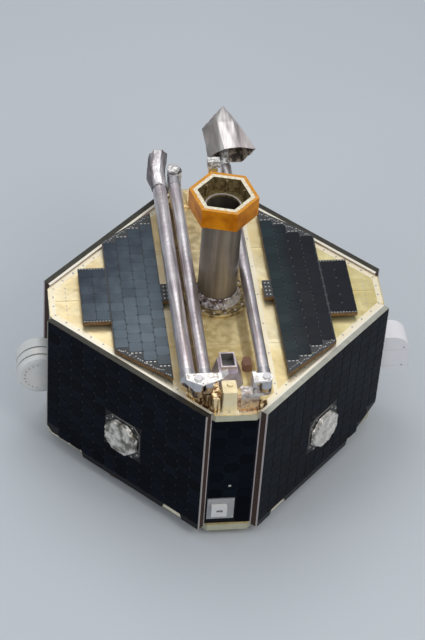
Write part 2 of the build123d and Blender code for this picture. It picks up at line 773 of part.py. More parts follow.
# Sun sensor on the near corner panel
near_face = Plane(origin=(0, -corner_panel_outer, 0), x_dir=(1, 0, 0), z_dir=(0, -1, 0))
with BuildPart() as sun_sensor:
    with BuildSketch(near_face):
        with Locations((-22, 110)):
            Rectangle(76, 80)
    extrude(amount=4)
    with BuildSketch(near_face.offset(4)):
        with Locations((-27, 110)):
            Rectangle(44, 40)
    extrude(amount=12)
    with BuildSketch(near_face.offset(16)):
        with Locations((-26, 111)):
            Rectangle(18, 10)
    extrude(amount=-6, mode=Mode.SUBTRACT)
sun_sensor.part.label = "sun_sensor"
export_step(sun_sensor.part, "parts/sun_sensor.step")

# Particle analyser: drum lying crosswise in the left corner, its plates parted by two
# narrow aperture slots. The profile runs along Y and gives the radius of the drum.
drum_x = -500.0
drum_height = 245.0
drum_radius = 66.0
slot_radius = 54.0
drum_profile = [
    (-52, 0),
    (-52, drum_radius - 10),
    (-48, drum_radius - 2),
    (-44, drum_radius),
    (-30, drum_radius),
    (-30, slot_radius),
    (-25, slot_radius),
    (-25, drum_radius),
    (0, drum_radius),
    (0, slot_radius),
    (5, slot_radius),
    (5, drum_radius),
    (38, drum_radius),
    (46, drum_radius - 5),
    (51, drum_radius - 20),
    (51, 0),
]
drum_plane = Plane(origin=(drum_x, 0, drum_height), x_dir=(0, 1, 0), z_dir=(1, 0, 0))
with BuildPart() as analyser_drum:
    with BuildSketch(drum_plane):
        Polygon(*drum_profile, align=no_align)
    revolve(axis=Axis((drum_x, 0, drum_height), (0, 1, 0)))
    with BuildSketch(Plane.YZ.offset(-452)):
        with Locations((-1, drum_height)):
            Rectangle(96, 120)
    extrude(amount=34)
analyser_drum.part.label = "analyser_drum"
export_step(analyser_drum.part, "parts/analyser_drum.step")

# Particle telescope: round-shouldered housing standing out of the right corner, with a
# scallop under its nose and a flange behind the corner panel
telescope_half = 38.0
with BuildPart() as telescope_box:
    with BuildSketch(Plane.XZ.offset(telescope_half)):
        with BuildLine():
            Line((440, 208), (528, 202))
            ThreePointArc((528, 202), (543, 213), (558, 202))
            Line((558, 202), (566, 202))
            ThreePointArc((566, 202), (573, 206), (576, 214))
            Line((576, 214), (572, 286))
            ThreePointArc((572, 286), (554, 318), (520, 330))
            Line((520, 330), (440, 330))
            Line((440, 330), (440, 208))
        make_face()
    extrude(amount=2 * telescope_half, dir=(0, 1, 0))
    with BuildSketch(Plane.YZ.offset(440)):
        with Locations((0, 268)):
            Rectangle(100, 152)
    extrude(amount=20)
telescope_box.part.label = "telescope_box"
export_step(telescope_box.part, "parts/telescope_box.step")

# Lower end of the axial boom unit and two small thrusters under the bottom deck
with BuildPart() as lower_axial_tube:
    with BuildSketch(Plane.XY.offset(4)):
        Circle(46)
        Circle(40, mode=Mode.SUBTRACT)
    extrude(amount=floor_bottom - 4)
lower_axial_tube.part.label = "lower_axial_tube"
export_step(lower_axial_tube.part, "parts/lower_axial_tube.step")

# Columns: name, place along Y
thrusters = [
    ("thruster_near", -395),
    ("thruster_far", 395),
]
thruster_profile = [
    (0, floor_bottom),
    (9, floor_bottom),
    (9, 18),
    (5, 15),
    (11, 3),
    (9, 3),
    (3, 13),
    (0, 13),
]
for name, place_y in thrusters:
    with BuildPart() as thruster:
        with BuildSketch(Plane.XZ.offset(-place_y)):
            Polygon(*thruster_profile, align=no_align)
        revolve(axis=Axis((0, place_y, 0), (0, 0, 1)))
    thruster.part.label = name
    export_step(thruster.part, f"parts/{name}.step")
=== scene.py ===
import bmesh
import bpy
import math
import random
from mathutils import Matrix, Vector, noise


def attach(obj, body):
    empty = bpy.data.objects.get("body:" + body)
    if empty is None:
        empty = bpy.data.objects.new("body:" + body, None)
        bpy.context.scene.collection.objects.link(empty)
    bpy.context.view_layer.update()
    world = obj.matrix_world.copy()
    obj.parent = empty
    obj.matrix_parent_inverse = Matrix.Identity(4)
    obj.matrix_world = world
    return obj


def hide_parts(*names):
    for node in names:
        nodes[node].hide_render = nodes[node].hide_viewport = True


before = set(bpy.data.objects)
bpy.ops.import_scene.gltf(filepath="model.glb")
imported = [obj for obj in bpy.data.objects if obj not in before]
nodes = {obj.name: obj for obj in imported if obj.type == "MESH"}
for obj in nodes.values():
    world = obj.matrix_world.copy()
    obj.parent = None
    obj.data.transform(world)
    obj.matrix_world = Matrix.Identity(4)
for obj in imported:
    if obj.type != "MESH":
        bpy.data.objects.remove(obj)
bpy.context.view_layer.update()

scene = bpy.context.scene


# Separation ring: one machined aluminium ring, clear anodised, turned on a lathe.
# It is bolted under the bottom deck, and its lower lip takes the clamp that holds
# the satellite for launch.
class Wire:
    """A socket of a finish. Arithmetic on it adds Math nodes."""

    def __init__(self, tree, socket=None):
        self.tree = tree
        self.socket = socket

    def node(self, kind, settings, sockets, output=0):
        made = self.tree.nodes.new("ShaderNode" + kind)
        for name, value in settings.items():
            if name == "stops":
                ramp = made.color_ramp.elements
                for place, color in value[2:]:
                    ramp.new(place)
                for stop, (place, color) in zip(ramp, value):
                    stop.position = place
                    stop.color = (*color, 1.0)
            else:
                setattr(made, name, value)
        for name, value in sockets.items():
            if isinstance(value, Wire):
                self.tree.links.new(value.socket, made.inputs[name])
            else:
                made.inputs[name].default_value = value
        return Wire(self.tree, made.outputs[output])

    def math(self, operation, *terms):
        return self.node("Math", {"operation": operation}, dict(enumerate(terms)))

    def __add__(self, other):
        return self.math("ADD", self, other)

    def __sub__(self, other):
        return self.math("SUBTRACT", self, other)

    def __rsub__(self, other):
        return self.math("SUBTRACT", other, self)

    def __mul__(self, other):
        return self.math("MULTIPLY", self, other)

    def __pow__(self, other):
        return self.math("POWER", self, other)

    def __abs__(self):
        return self.math("ABSOLUTE", self)

    __radd__ = __add__
    __rmul__ = __mul__

    def wave(self):
        return self.math("SINE", self)

    def part(self):
        return self.math("FRACT", self)

    def larger(self, other):
        return self.math("MAXIMUM", self, other)

    def rise(self, low, high):
        """Runs smoothly from 0 at low to 1 at high."""
        limits = {"Value": self, "From Min": low, "From Max": high}
        return self.node("MapRange", {"interpolation_type": "SMOOTHSTEP"}, limits)

    def split(self):
        return [self.node("SeparateXYZ", {}, {"Vector": self}, axis) for axis in range(3)]

    def stretch(self, factors):
        return self.node("VectorMath", {"operation": "MULTIPLY"}, {0: self, 1: factors})

    def place(self):
        """The spot on the surface, in the frame that all the parts share."""
        return self.node("TexCoord", {}, {}, "Object")

    def normal(self):
        return self.node("TexCoord", {}, {}, "Normal")

    def worn_edge(self, radius, full):
        """Close to 1 along the edges that handling has rubbed bright."""
        rounded = self.node("Bevel", {"samples": 4}, {"Radius": radius})
        flat = self.node("NewGeometry", {}, {}, "Normal")
        terms = {0: rounded, 1: flat}
        match = self.node("VectorMath", {"operation": "DOT_PRODUCT"}, terms, "Value")
        return ((1 - match) * 6).rise(0.05, full)

    def noise(self, place, scale, detail=3.0):
        return self.node("TexNoise", {}, {"Vector": place, "Scale": scale, "Detail": detail})

    def blend(self, mask, under, over):
        under = under if isinstance(under, Wire) else (*under, 1.0)
        over = over if isinstance(over, Wire) else (*over, 1.0)
        return self.node("Mix", {"data_type": "RGBA"}, {0: mask, 6: under, 7: over}, 2)

    def bump(self, height, strength, distance):
        sockets = {"Height": height, "Strength": strength, "Distance": distance}
        return self.node("Bump", {}, sockets)

    def feed(self, **wires):
        shader = self.tree.nodes["Principled BSDF"]
        for name, wire in wires.items():
            self.tree.links.new(wire.socket, shader.inputs[name.replace("_", " ")])


def finish(name, **fixed):
    """A new material, a wire to build its nodes from, and the spot on the surface."""
    made = bpy.data.materials.new(name)
    made.use_nodes = True
    shader = made.node_tree.nodes["Principled BSDF"]
    for socket, value in fixed.items():
        shader.inputs[socket.replace("_", " ")].default_value = value
    wire = Wire(made.node_tree)
    return made, wire, wire.place()


def dress(material, *names):
    for name in names:
        for slot in nodes[name].material_slots:
            slot.material = material


clear_aluminium, wire, place = finish("clear_aluminium")
x, y, z = place.split()
reach = (x * x + y * y) ** 0.5
turning = (reach * 5200 + z * 5200).wave() * 0.5 + 0.5
stain = wire.noise(place, 34)
smudge = wire.noise(place, 9, 5.0)
worn = wire.worn_edge(0.0012, 0.9)
tone = wire.blend(stain, (0.50, 0.51, 0.53), (0.66, 0.66, 0.67))
wire.feed(
    Base_Color=wire.blend(worn, tone, (0.84, 0.84, 0.85)),
    Metallic=0.92 - smudge * 0.12,
    Roughness=0.26 + turning * 0.05 + smudge * 0.16,
    Normal=wire.bump(turning * 0.4 + stain * 0.6, 0.12, 0.0004),
)
dress(clear_aluminium, "separation_ring")


# Ring bolts: twelve socket-headed steel screws with washers that hold the ring's upper
# flange to the bottom deck from inside, between the open holes of the lower lip.
up = Vector((0, 0, 1))


def turned(form, profile, centre, axis, sides):
    """Adds a closed body of revolution. The profile is (radius, height) pairs."""
    turn = up.rotation_difference(Vector(axis)).to_matrix()
    rings = []
    for radius, height in profile:
        count = sides if radius > 1e-6 else 1
        ring = []
        for k in range(count):
            angle = 2 * math.pi * k / sides
            spot = Vector((radius * math.cos(angle), radius * math.sin(angle), height))
            ring.append(form.verts.new(Vector(centre) + turn @ spot))
        rings.append(ring)
    for low, high in zip(rings, rings[1:]):
        for k in range(sides):
            a, b = low[k % len(low)], low[(k + 1) % len(low)]
            c, d = high[(k + 1) % len(high)], high[k % len(high)]
            corners = [a, b, c, d]
            corners = [v for n, v in enumerate(corners) if v not in corners[:n]]
            if len(corners) > 2:
                form.faces.new(corners)


def piece(name, form, material, body="bus", smooth=False):
    """Makes a mesh piece from a bmesh, gives it a finish and sets it on a body."""
    bmesh.ops.recalc_face_normals(form, faces=form.faces)
    mesh = bpy.data.meshes.new(name)
    form.to_mesh(mesh)
    form.free()
    if smooth:
        mesh.polygons.foreach_set("use_smooth", [True] * len(mesh.polygons))
    mesh.materials.append(material)
    made = bpy.data.objects.new(name, mesh)
    scene.collection.objects.link(made)
    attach(made, body)
    return made


screw_steel, wire, place = finish("screw_steel", Metallic=1.0)
grime = wire.noise(place, 900)
wire.feed(
    Base_Color=wire.blend(grime, (0.38, 0.37, 0.35), (0.72, 0.71, 0.68)),
    Roughness=0.22 + grime * 0.2,
)
screw_profile = [(0, 0), (1.5, 0), (1.5, 0.18), (1, 0.2), (0.96, 0.5), (0.72, 0.78)]
screw_profile += [(0.46, 0.84), (0.42, 0.42), (0, 0.42)]


def screws(name, seats, body="bus"):
    """Button-headed screws on washers, in one piece. A seat is (centre, axis, radius)."""
    form = bmesh.new()
    for centre, axis, radius in seats:
        profile = [(radius * across, radius * height) for across, height in screw_profile]
        turned(form, profile, centre, axis, 12)
    piece(name, form, screw_steel, body)


def heading(degrees, length=1.0, height=0.0):
    """The spot at an angle from +X, a length away from the spin axis."""
    angle = math.radians(degrees)
    return Vector((length * math.cos(angle), length * math.sin(angle), height))


above, below = (0, 0, 1), (0, 0, -1)
bolt_circle, flange_height = 0.150, 0.020
bolts = [(heading(30 * k, bolt_circle, flange_height), below, 0.0036) for k in range(12)]
screws("ring_bolts", bolts)

# Decks: two honeycomb plates. Both are covered with a pale gold metallised film that is
# laid in strips, taped at the seams and slightly baggy, so it mirrors what stands on it.
deck_film, wire, place = finish("deck_film", Specular_IOR_Level=0.5)
x, y, z = place.split()
facing = wire.normal().split()[2]
level = abs(facing).rise(0.4, 0.8)
billow = wire.noise(place, 7, 2.0)
crease = wire.noise(place, 48, 4.0)
fine = wire.noise(place, 260, 2.0)
seam = 1 - abs((y * 5.0 + 0.5).part() - 0.5).rise(0.006, 0.02)
cream = wire.blend(billow.rise(0.38, 0.66), (0.88, 0.72, 0.40), (0.95, 0.86, 0.62))
yellow = wire.blend(billow.rise(0.38, 0.66), (0.62, 0.50, 0.20), (0.84, 0.76, 0.42))
gold = wire.blend(x.rise(0.05, 0.30), cream, yellow)
middle = 1 - abs(x).rise(0.112, 0.124)
# The centre strip between the seams is brown on its far half and painted bright gold on its near
# half, a painted highlight.
brown = wire.blend(crease.rise(0.35, 0.65), (0.36, 0.26, 0.12), (0.62, 0.50, 0.27))
sunny = wire.blend(crease.rise(0.35, 0.65), (0.66, 0.50, 0.19), (0.92, 0.76, 0.38))
near_half = (y * -1).rise(0.05, 0.11)
gold = wire.blend(middle * 0.85, gold, wire.blend(near_half, brown, sunny))
# Painted shadow: a brown strip on the top deck along the search coil boom.
beside = (1 - abs(x - 0.058).rise(0.010, 0.018)) * middle * 0.5
gold = wire.blend(beside * z.rise(0.2, 0.3), gold, (0.20, 0.12, 0.05))
# Painted shade: a dark brown strip on the top deck under the folded booms stands in for their
# shadow and the reflection of their dark undersides.
under = (1 - abs(x + 0.087).rise(0.022, 0.030)) * z.rise(0.2, 0.3)
gold = wire.blend(under * 0.85, gold, (0.085, 0.050, 0.034))
streak = wire.noise(place, 20, 3.0).rise(0.52, 0.74) * 0.35
gold = wire.blend(streak, gold, (0.55, 0.38, 0.14))
gold = wire.blend(seam * 0.4, gold, (0.62, 0.46, 0.20))
rim = wire.blend(crease, (0.42, 0.42, 0.30), (0.60, 0.58, 0.42))
wire.feed(
    Base_Color=wire.blend(level, rim, gold),
    Metallic=0.35 + level * 0.38 - middle * near_half * 0.3,
    Roughness=0.30 + crease * 0.14 - billow * 0.08,
    Normal=wire.bump(billow * 5 + crease + fine * 0.12 + seam * 0.25, 0.55, 0.0016),
)
dress(deck_film, "bottom_deck", "top_deck")


# Film tape: strips of the same film, a little brighter, pressed along the deck edges and
# across its joins, with rows of small screws whose heads show as dots.
def loft(form, low, high):
    """Side faces between two outlines with the same number of corners."""
    steps = [(k, (k + 1) % len(low)) for k in range(len(low))]
    return [form.faces.new([low[a], low[b], high[b], high[a]]) for a, b in steps]


def add_slab(form, outline, low, high, inset=0.0):
    """A closed plate from an outline in plan, its top edge pulled in by the inset."""
    centre = sum((Vector(p) for p in outline), Vector((0, 0))) / len(outline)
    base = [form.verts.new((px, py, low)) for px, py in outline]
    crown = []
    for px, py in outline:
        inward = (centre - Vector((px, py))).normalized() * inset
        crown.append(form.verts.new((px + inward.x, py + inward.y, high)))
    loft(form, base, crown)
    form.faces.new(base[::-1])
    form.faces.new(crown)


def add_strip(form, start, end, width, low, high):
    """A flat strip of tape between two points in plan."""
    along = (Vector(end) - Vector(start)).normalized()
    side = Vector((-along.y, along.x)) * width / 2
    corners = [Vector(start) - side, Vector(end) - side, Vector(end) + side, Vector(start) + side]
    add_slab(form, [(p.x, p.y) for p in corners], low, high)


gold_tape, wire, place = finish("gold_tape")
crinkle = wire.noise(place, 120, 4.0)
patch = wire.noise(place, 14, 2.0)
wire.feed(
    Base_Color=wire.blend(patch, (0.90, 0.78, 0.52), (0.96, 0.90, 0.74)),
    Metallic=0.45 + patch * 0.25,
    Roughness=0.24 + crinkle * 0.2,
    Normal=wire.bump(crinkle, 0.5, 0.0007),
)
deck_corners = [(0.4725, 0.057), (0.057, 0.4725)]
for sx, sy in ((-1, 1), (-1, -1), (1, -1)):
    deck_corners += [(sx * px, sy * py) for px, py in deck_corners[:2]][:: sx * sy]
deck_corners = [Vector(corner) for corner in deck_corners]
deck_edges = list(zip(deck_corners, deck_corners[1:] + deck_corners[:1]))
deck_top, deck_under, tape_film, seam_x = 0.484, 0.026, 0.00035, 0.118
form = bmesh.new()
for start, end in deck_edges:
    pull = 1 - 0.009 / ((start + end) / 2).length
    add_strip(form, start * pull, end * pull, 0.015, deck_top, deck_top + tape_film)
    add_strip(form, start * pull, end * pull, 0.015, deck_under - tape_film, deck_under)
for x in (-seam_x, seam_x):
    add_strip(form, (x, -0.40), (x, 0.40), 0.012, deck_top + tape_film, deck_top + 2 * tape_film)
piece("deck_tape", form, gold_tape)

seats = []
for start, end in deck_edges:
    length = (start - end).length
    count = int(length / (0.042 if length > 0.2 else 0.036))
    for n in range(1, count):
        spot = start.lerp(end, n / count)
        spot *= 1 - 0.011 / spot.length
        seats.append(((*spot, deck_top + 0.0003), above, 0.0021))
        seats.append(((*spot, deck_under - 0.0003), below, 0.0021))
for side in (-1, 1):
    for n in range(7):
        seats.append(((side * 0.425, -0.054 + 0.018 * n, deck_top), above, 0.0016))
        seats.append(((side * seam_x, -0.36 + 0.12 * n, deck_top + 0.0007), above, 0.0018))
screws("deck_screws", seats)

# Central tube and equipment box: plain rolled and folded aluminium sheet between the
# decks, closed in by the panels on all sides.
inner_sheet, wire, place = finish("inner_sheet")
haze = wire.noise(place, 25)
wire.feed(
    Base_Color=wire.blend(haze, (0.40, 0.41, 0.42), (0.56, 0.57, 0.58)),
    Metallic=haze * 0.3 + 0.6,
    Roughness=0.35 + haze * 0.2,
    Normal=wire.bump(haze, 0.2, 0.0005),
)
dress(inner_sheet, "central_tube", "equipment_box")

# Lower axial tube and thrusters: the open lower end of the axial boom unit is a dark
# composite tube, and the two thrusters are heat-tinted metal bells on short stubs.
tinted_bell, wire, place = finish("tinted_bell")
x, y, z = place.split()
heat = z.rise(0.003, 0.022)
soot = wire.noise(place, 300)
wire.feed(
    Base_Color=wire.blend(heat, (0.20, 0.15, 0.18), (0.52, 0.46, 0.40)),
    Metallic=0.7 + heat * 0.25,
    Roughness=0.3 + soot * 0.3,
    Normal=wire.bump(soot, 0.2, 0.0002),
)
dress(tinted_bell, "thruster_near", "thruster_far")

# Corner panels: four narrow sheets covered with black solar cells, screwed to the decks
# and set a little behind the ends of the long panels.
black_sheet, wire, place = finish("black_sheet", Specular_IOR_Level=0.06)
cloud = wire.noise(place, 12, 4.0)
grit = wire.noise(place, 700, 2.0)
wire.feed(
    Base_Color=wire.blend(cloud, (0.003, 0.004, 0.007), (0.009, 0.011, 0.016)),
    Metallic=cloud * 0.05,
    Roughness=0.22 + cloud * 0.25,
    Normal=wire.bump(grit * 0.3 + cloud, 0.15, 0.0005),
)
corner_names = ["corner_panel_" + side for side in ("right", "far", "left", "near")]
dress(black_sheet, *corner_names)


def add_cell(form, centre, across, along, width, height, thickness, tips):
    """A thin cover glass with cropped corners, its edges ground, tipped a little."""
    out = across.cross(along)
    tilt = Matrix.Rotation(tips[0], 3, across) @ Matrix.Rotation(tips[1], 3, along)
    crop = min(width, height) * 0.12
    w, h = width / 2, height / 2
    plan = [(-w + crop, -h), (w - crop, -h), (w, -h + crop), (w, h - crop)]
    plan += [(w - crop, h), (-w + crop, h), (-w, h - crop), (-w, -h + crop)]
    grid = form.loops.layers.uv.verify()
    rings = []
    for share, rise in ((1.0, 0.0), (1.0, 0.6), (0.985, 1.0)):
        ring = []
        for u, v in plan:
            spot = tilt @ (across * u * share + along * v * share)
            ring.append(form.verts.new(centre + spot + out * thickness * rise))
        rings.append(ring)
    faces = [form.faces.new(rings[2]), form.faces.new(rings[0][::-1])]
    faces += loft(form, rings[0], rings[1]) + loft(form, rings[1], rings[2])
    for face in faces:
        for loop in face.loops:
            offset = loop.vert.co - centre
            loop[grid].uv = (offset.dot(across) / width + 0.5, offset.dot(along) / height + 0.5)


side_cell, wire, place = finish("side_cell", Specular_IOR_Level=0.03)
u, v, ignored = wire.node("UVMap", {"uv_map": "UVMap"}, {}).split()
chance = wire.node("NewGeometry", {}, {}, "Random Per Island")
fingers = 1 - abs((u * 16).part() - 0.5).rise(0.02, 0.07)
bars = 1 - abs((v * 2).part() - 0.5).rise(0.012, 0.03)
haze = wire.noise(place, 22, 3.0)
glass = wire.blend(chance, (0.0014, 0.0023, 0.0048), (0.0045, 0.0072, 0.0135))
lines = fingers * 0.06 + bars * 0.22
wire.feed(
    Base_Color=wire.blend(lines, glass, (0.13, 0.14, 0.16)),
    Roughness=0.12 + haze * 0.16 + lines * 0.3,
    Normal=wire.bump(haze + lines * 0.15, 0.12, 0.0006),
)
random.seed(11)
corner_turns = {"right": 0, "far": 90, "left": 180, "near": 270}
openings = {"left": (0.176, 0.314), "right": (0.200, 0.336), "near": (0.070, 0.150)}
cell_width, cell_height, cell_glass = 0.0392, 0.0329, 0.0009
face_depth, first_row, row_step, column_step = 0.4661, 0.0652, 0.0342, 0.0405
form = bmesh.new()
for side, turn in corner_turns.items():
    out = heading(turn)
    across = up.cross(out)
    low, high = openings.get(side, (9, 0))
    for row in range(12):
        for column in range(3):
            middle = first_row + row_step * row
            beside = side == "near" and column == 2
            if low - 0.0165 < middle < high + 0.0165 and not beside:
                continue
            spot = out * face_depth + across * (column - 1) * column_step + up * middle
            tips = (random.gauss(0, 0.003), random.gauss(0, 0.003))
            add_cell(form, spot, across, up, cell_width, cell_height, cell_glass, tips)
piece("corner_cells", form, side_cell)

# Sun sensor: a grey mounting plate at the foot of the near corner panel, with a white
# painted head whose dark slit lets the sun in. Four screws hold the plate.
sensor_paint, wire, place = finish("sensor_paint")
x, y, z = place.split()
plate = (0 - y).rise(0.4698, 0.4706)
scuff = wire.noise(place, 160, 4.0)
mottle = wire.noise(place, 30)
head = wire.blend(scuff.rise(0.55, 0.75), (0.74, 0.74, 0.73), (0.58, 0.57, 0.56))
base = wire.blend(mottle, (0.30, 0.30, 0.31), (0.44, 0.44, 0.45))
wire.feed(
    Base_Color=wire.blend(plate, base, head),
    Metallic=0.35 - plate * 0.3,
    Roughness=0.42 + scuff * 0.2,
    Normal=wire.bump(scuff, 0.25, 0.0004),
)
dress(sensor_paint, "sun_sensor")
slit_glass, wire, place = finish("slit_glass", Coat_Weight=0.6)
depth = wire.noise(place, 400)
wire.feed(
    Base_Color=wire.blend(depth, (0.004, 0.004, 0.006), (0.02, 0.02, 0.028)),
    Roughness=0.06 + depth * 0.1,
)
slit_x, slit_z, slit_width, slit_height, head_front = -0.026, 0.111, 0.0178, 0.0098, -0.4763
form = bmesh.new()
bmesh.ops.create_grid(form, x_segments=8, y_segments=4, size=0.5)
for vertex in form.verts:
    a, b = vertex.co.x, vertex.co.y
    lift = 0.0009 * (1 - (2 * a) ** 2) * (1 - (2 * b) ** 2)
    vertex.co = (slit_x + a * slit_width, head_front - lift, slit_z + b * slit_height)
bmesh.ops.solidify(form, geom=form.faces, thickness=0.0006)
piece("sun_slit", form, slit_glass)
frontward = (0, -1, 0)
seats = [((x, -0.470, z), frontward, 0.0022) for x in (-0.056, 0.012) for z in (0.0755, 0.1445)]
screws("sensor_screws", seats + [((-0.001, -0.4668, 0.1995), frontward, 0.0030)])

# Particle analyser: a white painted drum of three plates, the two slots between them
# lined with black, standing half out of the left corner.
white_paint, wire, place = finish("white_paint")
x, y, z = place.split()
span = ((x + 0.5) * (x + 0.5) + (z - 0.245) * (z - 0.245)) ** 0.5
slot = (1 - span.rise(0.0595, 0.0625)) * (1 - abs(y + 0.0125).rise(0.0172, 0.0178))
scuff = wire.noise(place, 90, 4.0)
yellow = wire.noise(place, 16, 2.0)
paint = wire.blend(yellow.rise(0.35, 0.7), (0.70, 0.72, 0.71), (0.80, 0.79, 0.76))
paint = wire.blend(scuff.rise(0.62, 0.8) * 0.4, paint, (0.50, 0.49, 0.46))
wire.feed(
    Base_Color=wire.blend(slot, paint, (0.03, 0.03, 0.032)),
    Metallic=0.1 + scuff * 0.1,
    Roughness=0.34 + scuff * 0.22,
    Normal=wire.bump(scuff * 0.5 + yellow, 0.25, 0.0005),
)
dress(white_paint, "analyser_drum")


def round_y(degrees):
    """The direction at an angle from +X towards +Z."""
    angle = math.radians(degrees)
    return Vector((math.cos(angle), 0, math.sin(angle)))


drum_face, drum_middle = Vector((-0.500, -0.052, 0.245)), Vector((-0.500, 0, 0.245))
spots = [drum_face + round_y(100 + 17.5 * k) * 0.045 for k in range(10)]
screws("analyser_screws", [(spot, frontward, 0.0019) for spot in spots if spot.x < -0.474])
form = bmesh.new()
for slot_middle in (-0.0275, 0.0025):
    for k in range(17):
        out = round_y(94 + 10.75 * k)
        along = Vector((0, 1, 0)).cross(out)
        middle = drum_middle + out * 0.0595 + Vector((0, slot_middle, 0))
        ends = []
        for level, half in ((-0.0050, 0.0005), (0.0050, 0.0003)):
            ends.append([])
            for a, b in ((-1, -1), (1, -1), (1, 1), (-1, 1)):
                spot = middle + along * a * half + Vector((0, b * 0.0024, 0)) + out * level
                ends[-1].append(form.verts.new(spot))
        form.faces.new(ends[0][::-1])
        form.faces.new(ends[1])
        loft(form, *ends)
piece("analyser_fins", form, slit_glass)

# Particle telescope: a round-shouldered housing in white film over aluminium at the right
# corner, with a dark round aperture on its nose.
white_film, wire, place = finish("white_film")
x, y, z = place.split()
crinkle = wire.noise(place, 70, 4.0)
shade = wire.noise(place, 12, 2.0)
tape = 1 - abs((z * 16).part() - 0.5).rise(0.02, 0.05)
film = wire.blend(shade, (0.88, 0.87, 0.92), (0.96, 0.95, 0.97))
wire.feed(
    Base_Color=wire.blend(tape * 0.25, film, (0.66, 0.64, 0.68)),
    Metallic=0.08 + shade * 0.1,
    Roughness=0.28 + crinkle * 0.22,
    Normal=wire.bump(crinkle + tape * 0.3, 0.5, 0.0010),
)
dress(white_film, "telescope_box")
form = bmesh.new()
rim = [(0, -0.001), (0.0125, -0.001), (0.0125, 0.0), (0.0105, 0.0006)]
rim += [(0.0090, 0.0004), (0.0086, -0.0006), (0, -0.0006)]
turned(form, rim, (0.5740, 0, 0.256), Vector((1, 0, 0.055)).normalized(), 28)
piece("telescope_aperture", form, slit_glass)
seats = []
for side in (-1, 1):
    for x, z in ((0.494, 0.316), (0.556, 0.220), (0.556, 0.290)):
        seats.append(((x, side * 0.038, z), (0, side, 0), 0.0019))
screws("telescope_screws", seats)

# Long side panels: honeycomb plates 25 mm thick. The two thin light face sheets and the
# dark core show as lines at the ends, and a strip of cream tape closes the upper edge.
panel_edge, wire, place = finish("panel_edge", Specular_IOR_Level=0.15)
x, y, z = place.split()
crest = wire.normal().split()[2].rise(0.5, 0.8)
diagonal = math.sqrt(0.5)
depth = (abs(x) + abs(y)) * diagonal
front = depth.rise(0.39985, 0.39995)
border = (abs(abs(x) - abs(y)) * diagonal).rise(0.2806, 0.2810)
sheet = 1 - abs(abs(depth - 0.3875) - 0.0106).rise(0.0018, 0.0025)
lip = 1 - depth.rise(0.3825, 0.3835)
lit_side = (x - y).rise(0.50, 0.54)
comb = {"Vector": place, "Scale": 210.0}
cells = wire.node("TexVoronoi", {"feature": "DISTANCE_TO_EDGE"}, comb)
core = wire.blend(cells.rise(0.02, 0.09), (0.11, 0.070, 0.050), (0.034, 0.020, 0.016))
ends = wire.blend(sheet, core, (0.52, 0.46, 0.47))
wrinkle = wire.noise(place, 60, 4.0)
# Painted light and shade: the crest tape is a lit copy on the near right panel and a dark shaded
# copy on the other three panels.
tape = wire.blend(wrinkle, (0.28, 0.29, 0.25), (0.50, 0.50, 0.44))
shaded = wire.blend(wrinkle, (0.030, 0.030, 0.026), (0.085, 0.080, 0.066))
tape = wire.blend(lit_side, shaded, tape)
tape = wire.blend(lip, tape, (0.88, 0.83, 0.70))
plain = wire.blend(wire.noise(place, 12, 4.0), (0.004, 0.004, 0.006), (0.012, 0.012, 0.014))
plain = wire.blend(border, plain, (0.36, 0.34, 0.32))
ends = wire.blend(crest, ends, tape)
wire.feed(
    Base_Color=wire.blend(front, ends, plain),
    Metallic=crest * 0.4,
    Roughness=0.5 - front * 0.2 - crest * 0.15,
    Normal=wire.bump(wrinkle * crest + cells * 0.4 * (1 - crest), 0.5, 0.0006),
)
panel_turns = {"near_left": 225, "near_right": 315, "far_right": 45, "far_left": 135}
panels = []
for side, turn in panel_turns.items():
    out = heading(turn)
    relieved_end = 1 if turn in (315, 135) else -1
    panels.append((turn, out, up.cross(out), relieved_end))
dress(panel_edge, *["side_panel_" + side for side in panel_turns])

# Foot film: where the lower edge of a long panel is relieved near its ends, gold film is
# folded round the cut to close its open honeycomb, and fills the small notch.
form = bmesh.new()
for turn, out, across, end in panels:
    shoulder, tip = (0.2613, 0.0808) if turn in (225, 135) else (0.1743, 0.1168)
    binding = [(0.1432, 0.0400), (0.1500, 0.0618), (shoulder, 0.0618), (0.2830, tip)]
    binding += [(0.2830, tip - 0.013), (shoulder + 0.004, 0.0520), (0.1530, 0.0520)]
    notch = [(-0.2218, 0.0400), (-0.2150, 0.0578), (-0.1570, 0.0578), (-0.1502, 0.0400)]
    for outline in (binding + [(0.1490, 0.0400)], notch):
        faces = []
        for depth in (0.3950, 0.3956):
            spots = [out * depth + across * end * a + up * b for a, b in outline]
            faces.append([form.verts.new(spot) for spot in spots])
            form.faces.new(faces[-1])
        loft(form, *faces)
piece("foot_film", form, gold_tape)

# Side cells: navy black cover glasses glued to the long panels in rows, with hairline
# gaps, silver fingers and no two lying quite flat. They stop short of the boom cover.
cell_width, cell_height, cap_height = 0.0420, 0.0318, 0.225
face_depth, first_row, row_step, column_step = 0.4001, 0.0765, 0.0330, 0.0432
form = bmesh.new()
for turn, out, across, end in panels:
    for row in range(13):
        middle = first_row + row * row_step
        for column in range(13):
            offset = (column - 6) * column_step
            toward_end = end * offset
            on_cover = abs(offset) < 0.086 and abs(middle - cap_height) < 0.078
            past_cut = middle < 0.13 and toward_end > 0.183 + middle * 0.4 and turn in (315, 45)
            past_foot = middle < 0.085 and abs(toward_end - 0.262) < 0.03
            if on_cover or past_cut or past_foot:
                continue
            spot = out * face_depth + across * offset + up * middle
            tips = (random.gauss(0, 0.0035), random.gauss(0, 0.0035))
            add_cell(form, spot, across, up, cell_width, cell_height, cell_glass, tips)
piece("side_cells", form, side_cell)

